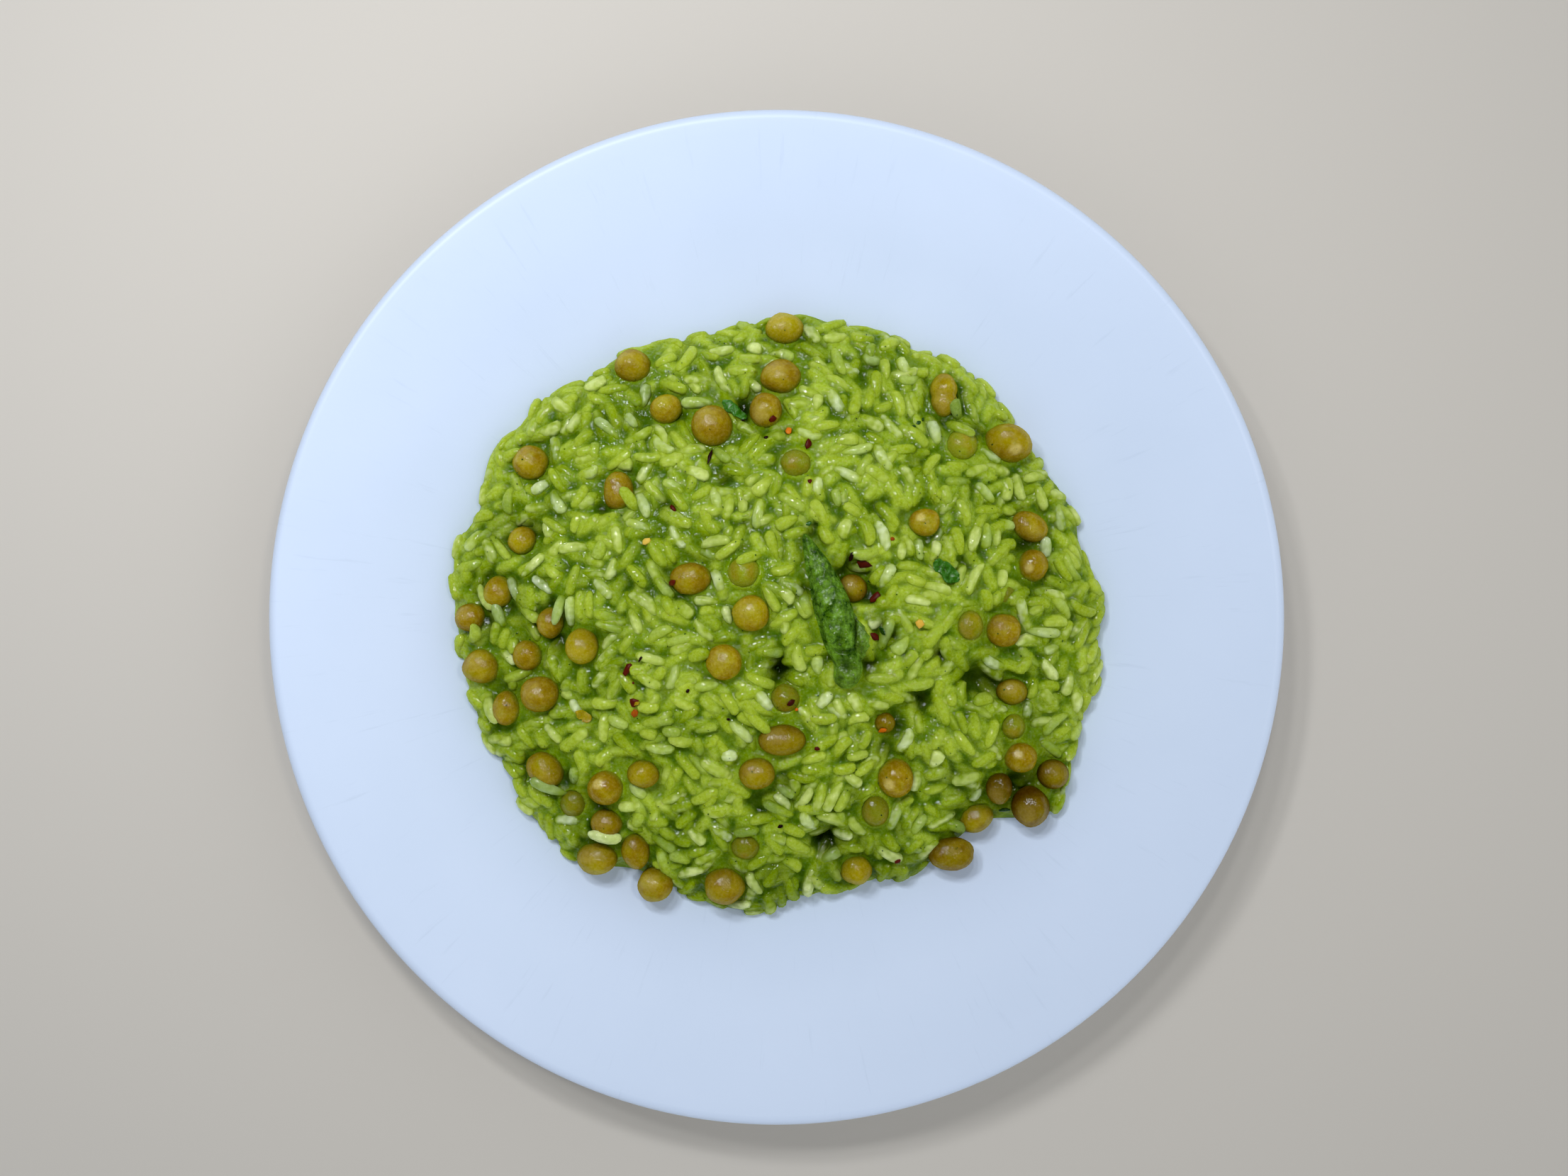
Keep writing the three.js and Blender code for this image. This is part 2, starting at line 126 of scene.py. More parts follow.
def tubeFaces(count, rows, columns, order=1):
    # quads and triangles of several closed tubes, each with its rings of corners and then its two poles
    starts = (np.arange(count) * (rows * columns + 2))[:, None, None]
    quads = (starts + gridQuads(rows, columns)[None, :, ::order]).reshape(-1, 4)
    triangles = (starts + capFans(rows, columns)[None, :, ::order]).reshape(-1, 3)
    return quads, triangles


def makePiece(name, corners, faces, material, attributes={}, facets=False):
    # corners in millimetres; faces are quads and triangles; attributes are one number for each corner
    quads, triangles = faces
    mesh = bpy.data.meshes.new(name)
    sizes = np.concatenate([np.full(len(quads), 4), np.full(len(triangles), 3)])
    loops = np.concatenate([np.ravel(quads), np.ravel(triangles)]).astype(np.int32)
    mesh.vertices.add(len(corners))
    mesh.vertices.foreach_set("co", (np.asarray(corners) * mm).astype(np.float32).ravel())
    mesh.loops.add(len(loops))
    mesh.loops.foreach_set("vertex_index", loops)
    mesh.polygons.add(len(sizes))
    mesh.polygons.foreach_set("loop_start", (np.cumsum(sizes) - sizes).astype(np.int32))
    mesh.update(calc_edges=True)
    if not facets:
        mesh.shade_smooth()
    for label, numbers in attributes.items():
        layer = mesh.attributes.new(label, "FLOAT", "POINT")
        layer.data.foreach_set("value", np.asarray(numbers, np.float32).ravel())
    mesh.materials.append(material)
    piece = bpy.data.objects.new(name, mesh)
    bpy.context.scene.collection.objects.link(piece)
    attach(piece, "root")
    return piece


# The plate: a shallow coupe with a flat floor, an arc, a straight slope and a round lip, on a foot ring
plate = {
    "radius": 135, "wall": 4.5, "floorRadius": 70, "floorHeight": 6, "curveRadius": 105,
    "rimSlope": math.radians(19.5), "footOuter": 82, "footInner": 77.5, "footRise": 1.8, "footFillet": 0.8,
    "steps": 224,
}
curveEnd = plate["floorRadius"] + plate["curveRadius"] * math.sin(plate["rimSlope"])


def plateTop(radius):
    # floor height, then R - sqrt(R^2 - (r - floor)^2) along the arc, then the slope
    radius = np.asarray(radius, float)
    run = np.clip(radius - plate["floorRadius"], 0, curveEnd - plate["floorRadius"])
    arc = plate["curveRadius"] - np.sqrt(plate["curveRadius"] ** 2 - run ** 2)
    return plate["floorHeight"] + arc + np.maximum(radius - curveEnd, 0) * math.tan(plate["rimSlope"])


def makePlate(material):
    # profile (r, z) carried round the axis: x = r cos a, y = r sin a
    lip = plate["wall"] / 2
    slope = plate["rimSlope"]
    lipCentre = plate["radius"] - lip
    lipHeight = float(plateTop(lipCentre - lip * math.sin(slope))) - lip * math.cos(slope)
    underRadius = plate["curveRadius"] + plate["wall"]
    outer, inner, rise, fillet = (plate[key] for key in ("footOuter", "footInner", "footRise", "footFillet"))
    footTurn = math.asin((outer + fillet - plate["floorRadius"]) / underRadius)
    inside = np.linspace(1, lipCentre - lip * math.sin(slope), 44)
    lipTurn = pi / 2 + slope - pi * np.linspace(0.06, 1, 14)
    underTurn = np.linspace(slope, footTurn, 12)
    foot = [
        (outer, fillet), (outer - 0.25, 0.25), (outer - fillet, 0),
        (inner + fillet, 0), (inner + 0.25, 0.25), (inner, fillet),
        (inner - 0.6, rise - 0.2), (inner - 2 * fillet, rise), (inner * 0.5, rise), (1, rise),
    ]
    profile = np.concatenate([
        np.stack([inside, plateTop(inside)], -1),
        np.stack([lipCentre + lip * np.cos(lipTurn), lipHeight + lip * np.sin(lipTurn)], -1),
        np.stack([
            plate["floorRadius"] + underRadius * np.sin(underTurn),
            plate["floorHeight"] + plate["curveRadius"] - underRadius * np.cos(underTurn),
        ], -1),
        np.array(foot),
    ])
    turn = ringAngles(plate["steps"])
    radius, height = profile[:, :1], profile[:, 1:]
    rings = np.stack([radius * np.cos(turn), radius * np.sin(turn), height + 0 * turn], -1)
    poles = [[0, 0, plate["floorHeight"]], [0, 0, rise]]
    corners = np.concatenate([rings.reshape(-1, 3), poles])
    faces = tubeFaces(1, len(profile), plate["steps"], -1)
    piece = makePiece("platePorcelain", corners, faces, material)
    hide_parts("plate")
    return piece


# The heap of rice and sauce. Edge: angle in degrees from +X, radius
heap = {
    "peakDepth": 20.5, "edgeDepth": 5, "shoulderWidth": 5, "crownPower": 2.2, "edgeWobble": 0.8,
    "crossWave": (0.6, 9.5, 8), "slantWave": (0.4, 5.2), "waveInset": 20, "sauceSink": 0.6,
    "edge": [
        (0, 89), (15, 86), (30, 84), (50, 85), (65, 83), (90, 82), (105, 79.5), (125, 84), (150, 89.5),
        (160, 87.5), (170, 89), (190, 88), (208, 85.5), (228, 87), (243, 80.5), (262, 81), (281, 77),
        (300, 80), (314, 79.5), (326, 92.4), (342, 88.5),
    ],
    # hollows: centre x and y, half sizes along and across, turn in degrees, depth
    "hollows": [
        (54.5, -17, 8, 4.5, -12, 5), (36, -24, 9, 6, 20, 4.5), (42.8, -9.8, 3, 3, 0, 3),
        (25, -13.5, 5, 3.5, 70, 3.5), (0.5, -13, 4.5, 3, 90, 3), (21.5, 10, 6, 4.5, -60, 2.2),
        (13, -61, 7, 4, 10, 2.5), (-5, -49.5, 7, 4, 0, 1.5),
    ],
    # cells along each side of the grid that covers the heap; spacing of the raster on which the relief is
    # worked out; how widely the sauce rounds up to a grain
    "cells": 304, "rasterStep": 0.3, "filletWidth": 1.05,
    # blur of the top that hollows are measured from, and of the cover; how high the sauce climbs at the tip,
    # and over what width; how far in from the edge the relief fades
    "hollowBlur": 2.6, "coverBlur": 0.3, "tipMeniscus": (0.4, 0.7), "edgeFade": 1.6,
    # rings of the underside as shares of the edge's radius, and how far they dip into the plate
    "underRings": (0.985, 0.8, 0.45), "underDip": 0.12,
    # grit and lumps in the bare sauce: size, height, seed
    "lumps": [(1.3, 0.16, 3), (2.6, 0.2, 1), (6, 0.3, 2)],
    # deep wet places between the lumps, dipped and given painted shade: x, y, radius, depth, how much
    #     # painted shade; and a share on all that painted shade
    "gaps": [
        (-26, 54, 2.2, 0.8, 0.6), (-9, 56, 3, 1.2, 0.7), (-14, 37, 3, 1.2, 0.6), (-29, 30, 2, 0.6, 0.35),
        (-8, 25, 2.6, 1.2, 0.65), (9, 23, 2.6, 1, 0.6), (18.2, 14.5, 3.4, 0.7, 0.6), (7, 7, 2.2, 1, 0.5),
        (24.5, -12, 2.4, 1.5, 1), (0.6, -13.6, 3, 1.5, 1), (3.6, -22, 2.6, 0.8, 0.5),
        (43.6, -10, 2.2, 1, 0.7), (53, -16.5, 5, 1, 0.8), (57.5, -17.5, 3, 1, 0.6),
        (31.5, -27.5, 3.4, 1.4, 0.8), (38, -22.3, 3.8, 1.4, 0.8), (28.6, -34.5, 3, 1, 0.6),
        (12.8, -60, 4, 1.5, 0.8), (-5, -50, 4.6, 1, 0.5), (51, -3, 2.2, 0.8, 0.6),
        (-58.5, -7, 2.2, 0.9, 0.5), (-48.5, -5.5, 2, 0.7, 0.45), (-66, 23.5, 2.4, 0.8, 0.5),
        (-79, -1.5, 2, 0.6, 0.5), (-60, -26, 3, 0.6, 0.35), (66.3, -45.2, 4.6, 1.9, 1),
        (61.5, -46, 2.8, 1, 0.8), (57, -57.5, 2.6, 0.8, 0.7), (-48, -49.5, 3, 1, 0.7),
        (-56, -44, 2.4, 0.8, 0.5), (8, 73, 3, 0.6, 0.4), (54, 50, 2.4, 0.8, 0.6), (67, 19.5, 2.6, 0.8, 0.6),
        (36.5, 42.5, 3, 0.5, 0.4), (-46.5, 29, 2.4, 0.8, 0.5), (2, -43, 2.6, 0.8, 0.5),
        (-42, -33, 2.2, 0.6, 0.4), (13.8, -10.5, 1.8, 1, 0.7), (20.5, -47, 3, 0.7, 0.4),
        (47, -28.5, 3, 0.6, 0.4), (33, -57, 2.6, 0.7, 0.4), (24, 6, 2, 0.7, 0.5), (48, 12, 3.4, 0.6, 0.5),
        (-35, 60, 3, 0.4, 0.25), (-20, -36, 2, 0.5, 0.3), (27, 29, 3.4, 0.5, 0.3),
        (-63, 10, 2.4, 0.5, 0.35), (-33, -9, 2.4, 0.5, 0.3), (2.5, 49, 2.4, 0.6, 0.4),
        (29.2, -4.6, 3.2, 0.9, 0.75), (26.6, -2.2, 2.2, 0.6, 0.6),
    ],
    "gapStrength": 1.18,
    # painted shade: how much beside a pea and how far from it; along the near edge, where the shade falls,
    #     # and how far in; in a ring further in, whose place and half width follow; and in a patch at x, y
    #     with
    #     # its half sizes
    "contactDark": (0.16, 1.3), "edgeDark": (0.42, 22), "ringDark": (0.12, 14, 8),
    "sideDark": (0.1, -52, -22, 30, 26),
    # painted light: how much paler the far, the left and the right edge are, and how far in
    "farPale": 0.12, "leftPaintedLight": 0.36, "rightPaintedLight": 0.13, "paintedLightBand": 9,
    # slow random patches, lighter and darker: size, strength, seed; an amount taken off all the painted
    #     # shade, and its range
    "patches": [(8.5, 0.24, 61), (4.3, 0.18, 62)], "restPale": 0.05, "darkRange": (-0.35, 1),
    # froth: how ragged its patches are, size and seed; patches: x, y, radius
    "frothEdge": (0.5, 2.5, 31),
    "froth": [
        (2.5, -52.5, 4), (-3, -64, 4), (-24, -12, 4), (18, -9.5, 3), (-15, 30, 5), (40, 30, 5), (52, 8, 4),
        (-45, 5, 5), (-30, -40, 4), (30, 52, 5), (-8, 62, 4), (60, -30, 4), (-60, -20, 5), (20, -38, 4),
        (38, -2, 4),
    ],
}
# length of the curve that takes the top down to the plate
shoulderArc = heap["shoulderWidth"] * 1.6


def edgeRadius(angle):
    degrees = np.degrees(angle) % 360
    listed = np.array(heap["edge"] + [(360, heap["edge"][0][1])], float)
    i = np.searchsorted(listed[:, 0], degrees, side="right") - 1
    share = (degrees - listed[i, 0]) / (listed[i + 1, 0] - listed[i, 0])
    eased = listed[i, 1] + (listed[i + 1, 1] - listed[i, 1]) * smooth(share)
    return eased + heap["edgeWobble"] * np.sin(17 * angle + 2 * np.sin(5 * angle))


def heapPoint(u, v):
    # point of the bare sauce at unrolled place (u, v): distance from the middle is measured along the
    # surface, over the shoulder too, where r = edge - w + w sin t and the depth goes with cos t
    reach, angle = np.hypot(u, v), np.arctan2(v, u)
    edge = edgeRadius(angle)
    width = heap["shoulderWidth"]
    turn = np.clip((reach - edge + width) / shoulderArc, 0, 1) * pi / 2
    radius = np.where(turn > 0, edge - width + width * np.sin(turn), reach)
    x, y = radius * np.cos(angle), radius * np.sin(angle)
    height = heap["peakDepth"] - heap["edgeDepth"]
    crown = heap["edgeDepth"] + height * (1 - (radius / edge) ** heap["crownPower"])
    rise, lengthX, lengthY = heap["crossWave"]
    slantRise, slant = heap["slantWave"]
    waves = rise * np.sin(x / lengthX + 1) * np.cos(y / lengthY - 0.5) + slantRise * np.sin((x + y) / slant)
    depth = (crown - heap["sauceSink"]) * np.cos(turn) + waves * smooth((edge - radius) / heap["waveInset"])
    for hollowX, hollowY, along, across, degrees, fall in heap["hollows"]:
        runAlong, runAcross = turned(x - hollowX, y - hollowY, math.radians(-degrees))
        depth = depth - fall * np.exp(-(runAlong / along) ** 2 - (runAcross / across) ** 2)
    return np.stack([x, y, plateTop(radius) + depth], -1)


def heapNormal(u, v):
    # cross product of the steps between two pairs of neighbours
    step = 0.6
    alongU = heapPoint(u + step, v) - heapPoint(u - step, v)
    alongV = heapPoint(u, v + step) - heapPoint(u, v - step)
    normal = np.cross(alongU, alongV)
    return normal / np.linalg.norm(normal, axis=-1, keepdims=True)


def liftedPoint(u, v, lift):
    # the heap's point moved along its normal
    return heapPoint(u, v) + heapNormal(u, v) * np.asarray(lift)[..., None]


def unroll(x, y):
    # unrolled place of a point seen from above
    radius, angle = np.hypot(x, y), np.arctan2(y, x)
    edge, width = edgeRadius(angle), heap["shoulderWidth"]
    past = np.clip((radius - edge) / width + 1, 0, 1)
    reach = np.where(past > 0, edge - width + np.arcsin(past) * shoulderArc * 2 / pi, radius)
    return reach * np.cos(angle), reach * np.sin(angle)


# Peas: their places and sizes come from the frame, where the faceted ones are larger by facetGrowth
peaLooks = {
    "facetGrowth": 1.03, "sides": 28, "rings": 17, "reach": 12, "seed": 23,
    # height of the wrinkles; slow waves and fine dimples that make them: how many, how close
    "wrinkle": 0.045, "waves": (5, 2.4), "dimples": (6, 7), "dimpleShare": 0.3,
    # how much the lobed one is drawn in at its waist, and over what share of its length
    "lobed": [7], "waist": (0.2, 0.22),
    # coated in sauce; how much at the middle, and how patchy, on one that is and on one that isn't
    "coated": [9, 12, 18, 26, 33, 34, 43, 48, 52], "coatedFilm": (0.72, 0.45), "plainFilm": (-0.1, 0.3),
    # height of the film at the sauce, how far it climbs, and over what size
    "film": (1.9, 0.6, 1.4),
    # the side turned up towards the window panes, paler as a painted highlight; how pale, from what share of
    #     # the way round, how soft its edge: plainly on these peas, and up to so much on the others
    "paintedHighlightSide": (-0.3, 0.35, 0.88), "pale": [8, 13, 15, 38, 39, 46], "plainHighlight": (0.9, 0.92, 0.06),
    "faintHighlight": (0.4, 0.75, 0.22), "seamed": [41], "seam": (0.5, 0.07), "toneSpread": 1.3,
    # peas given painted shade, and peas given painted light
    "shaded": [19, 32, 35, 36, 40, 41, 42, 56], "high": [4, 9, 13, 18, 20, 25, 38, 46],
    # how much painted shade those two lists get, below 0 painted light, and the ones near the front edge,
    #     # which start at frontY; on a pea's lower side, over what share of its height; and on one in a gap
    "shadedDark": 0.3, "highDark": -0.22, "frontDark": 0.14, "frontY": -38, "lowDark": (0.5, 0.75),
    "gapDark": 0.45,
    # one more under the sauce, only its top showing: x, y, size
    "sunken": (61, 6.5, 8),
    # where the sauce meets a pea: share of its height below the middle, how far round it the heap and then
    # the sauce give way, how high the sauce climbs at its skin, and over what width
    "waterline": 0.05, "coatedWaterline": -0.16, "clearing": 3, "moat": 1.1, "meniscus": 0.55,
    "meniscusWidth": 0.6,
    # how far under that the sauce lies on a coated pea, and how fast it falls away
    "lapDrop": 0.2, "lapSlope": 0.55,
}
farBelow = -9  # stands for no surface at all


def measurePea(number):
    # centre, sizes and turn of one pea from the spread of its solid's corners
    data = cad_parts[f"pea_{number:02d}"].data
    found = np.zeros(len(data.vertices) * 3)
    data.vertices.foreach_get("co", found)
    found = found.reshape(-1, 3) / mm
    centre = (found.min(0) + found.max(0)) / 2
    _, axes = np.linalg.eigh(np.cov(np.unique(found.round(2), axis=0)[:, :2].T))
    turn = math.atan2(axes[1, 1], axes[0, 1])
    along, across = turned(found[:, 0] - centre[0], found[:, 1] - centre[1], -turn)
    sizes = np.array([np.ptp(along), np.ptp(across), np.ptp(found[:, 2])]) / peaLooks["facetGrowth"]
    return centre, sizes, turn


peaCount = sum(name.startswith("pea_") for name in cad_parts)
peas = [measurePea(number + 1) for number in range(peaCount)]
peaCentre = np.array([p[0] for p in peas])
peaU, peaV = unroll(peaCentre[:, 0], peaCentre[:, 1])
peaTurn = np.array([p[2] for p in peas])
peaLength, peaWidth, peaHeight = np.array([p[1] for p in peas]).T
# lift of each pea's middle over the bare heap
peaLift = ((peaCentre - heapPoint(peaU, peaV)) * heapNormal(peaU, peaV)).sum(-1)
coatedPea = np.isin(np.arange(peaCount) + 1, peaLooks["coated"])
peaLevel = peaLift - peaHeight * np.where(coatedPea, peaLooks["coatedWaterline"], peaLooks["waterline"])
print("peas measured:", peaCount, "lifted from %.1f to %.1f mm" % (peaLift.min(), peaLift.max()))

# Asparagus tip: stations from the point to the cut end, x, y and full width, for the room it takes
tip = {
    "stations": [
        (7.5, 21.9, 0.6), (8.2, 19.6, 2.8), (9.4, 16.6, 4.8), (11.2, 12.4, 7.4), (13, 6.6, 9.4),
        (14.9, 0.6, 10.6), (16.6, -5.4, 10.2), (17.9, -10.9, 9), (18.6, -15, 7.2), (18.8, -17.6, 4.6),
    ],
    # outline of the body: y, left x, right x, height over the heap's slope
    "outline": [
        (21.9, 7.0, 7.9, 0.2), (20.4, 6.7, 9.2, 0.3), (18.1, 6.9, 11.1, 0.5), (15.1, 7.3, 13.5, 0.7),
        (12, 7.7, 15.2, 0.9), (9.6, 8.5, 16.7, 1), (5.9, 9, 18.5, 1.1), (2.2, 9.6, 20, 1.1),
        (-0.2, 10.4, 20.3, 1), (-2.7, 11.1, 20.6, 0.9), (-5.7, 11.9, 20.7, 0.8), (-8.2, 12.9, 20.4, 0.6),
        (-10, 14, 21.6, 0.5), (-12, 15, 22.4, 0.4), (-13.7, 15, 22.5, 0.3), (-15.5, 14.8, 21.9, 0.1),
        (-17.2, 15.4, 21.2, -0.2), (-18.4, 17, 19.4, -0.5),
    ],
    # outline of the curled bract at the lower right: y, left x, right x, height
    "bract": [
        (1.2, 19.3, 20.2, -0.9), (-0.6, 19.5, 21.5, -0.3), (-2.6, 19.9, 23, 0.3), (-4.8, 20.3, 24.1, 0.6),
        (-7, 20.1, 24.2, 0.5), (-8.9, 19.7, 23.6, 0.1), (-10.2, 19.6, 22.9, -0.5),
        (-11.2, 20.2, 22.2, -1.2),
    ],
    # dents, given painted shade as well: x, y, half sizes across and along, depth
    "dents": [
        (17.8, -12.2, 1.9, 2.2, 0.8), (20.4, -3.2, 0.6, 3.2, 0.8), (17.6, -8.6, 3, 0.7, 0.8),
        (16.6, -5.3, 0.8, 2.2, 0.5), (19, 5.5, 0.45, 3.4, 0.5), (14, 13.8, 0.45, 3.6, 0.7),
        (16.6, -15.6, 1.2, 0.9, 0.7), (12.2, -6.2, 0.6, 2.6, 0.4),
    ],
    "bodyShare": 0.39, "bractShare": 0.3, "lift": 0.4, "rows": 130, "sides": 72, "bumps": 0.38,
}
tipStations = np.array(tip["stations"])


def peaShares(u, v, chosen=slice(None)):
    # for each pea, how far out a place is as a share of its outline, and its distance from the outline
    along, across = turned(u[..., None] - peaU[chosen], v[..., None] - peaV[chosen], -peaTurn[chosen])
    share = np.hypot(2 * along / peaLength[chosen], 2 * across / peaWidth[chosen]) + 1e-6
    return share, np.hypot(along, across) * (1 - 1 / share)


def roomToPeas(u, v):
    # distance from a place to the nearest pea's outline
    return peaShares(u, v)[1].min(-1)


def peaTop(u, v):
    # lift of the top of the pea at a place, far below where there is none
    share = peaShares(u, v)[0]
    ball = peaLift + peaHeight / 2 * np.sqrt(np.clip(1 - share ** 2, 0, 1))
    return np.where(share < 1, ball, farBelow).max(-1)


def gapShares(u, v):
    # a bell round each listed gap, with its depth and how dark it is
    return [
        (np.exp(-((u - x) ** 2 + (v - y) ** 2) / radius ** 2), depth, min(heap["gapStrength"] * paintedShade, 1))
        for x, y, radius, depth, paintedShade in heap["gaps"]
    ]


def gapPaintedShade(u, v):
    return 1 - np.prod([1 - share * paintedShade for share, _, paintedShade in gapShares(u, v)], axis=0)


def dip(u, v):
    # how far the whole heap gives way towards the peas that lie deep in it, and in the listed gaps
    room = np.maximum(peaShares(u, v)[1], 0)
    byPeas = (np.exp(-(room / peaLooks["clearing"]) ** 2) * np.maximum(0.3 - peaLevel, 0)).max(-1)
    return byPeas + np.max([share * depth for share, depth, _ in gapShares(u, v)], axis=0)


def paintedShadeAt(u, v):
    # painted shade: 0 on the bright top to 1 in the deepest gap, more beside the peas, along the near edge
    #     # and in a ring; below 0 it is painted light, along the far, left and right edges; plus slow random
    #     patches
    angle = np.arctan2(v, u)
    inward = edgeRadius(angle) - np.hypot(u, v)
    near, right = (0.5 - 0.5 * np.sin(angle)) ** 2, np.cos(angle)
    contact, contactReach = heap["contactDark"]
    edge, edgeReach = heap["edgeDark"]
    ring, ringPlace, ringWidth = heap["ringDark"]
    side, sideX, sideY, sideWide, sideHigh = heap["sideDark"]
    paintedShade = gapPaintedShade(u, v) + contact * np.exp(-np.maximum(roomToPeas(u, v), 0) / contactReach)
    paintedShade = paintedShade + edge * near * smooth(1 - inward / edgeReach)
    paintedShade = paintedShade + ring * np.exp(-((inward - ringPlace) / ringWidth) ** 2)
    paintedShade = paintedShade + side * np.exp(-((u - sideX) / sideWide) ** 2 - ((v - sideY) / sideHigh) ** 2)
    # painted light along the far, left and right edges
    pale = heap["farPale"] * (1 - near) + heap["leftPaintedLight"] * np.clip(-right, 0, 1)
    pale = pale + heap["rightPaintedLight"] * np.clip(right, 0, 1) ** 4
    paintedShade = paintedShade - pale * smooth(1 - inward / heap["paintedLightBand"]) + latticeSum(u, v, heap["patches"])
    return np.clip(paintedShade - heap["restPale"], *heap["darkRange"])


def roomToTip(x, y):
    # distance from a place to the side of the asparagus tip
    starts, ends = tipStations[:-1], tipStations[1:]
    run = ends[:, :2] - starts[:, :2]
    offX, offY = x[..., None] - starts[:, 0], y[..., None] - starts[:, 1]
    share = np.clip((offX * run[:, 0] + offY * run[:, 1]) / (run ** 2).sum(-1), 0, 1)
    width = starts[:, 2] + (ends[:, 2] - starts[:, 2]) * share
    return (np.hypot(offX - share * run[:, 0], offY - share * run[:, 1]) - width / 2).min(-1)


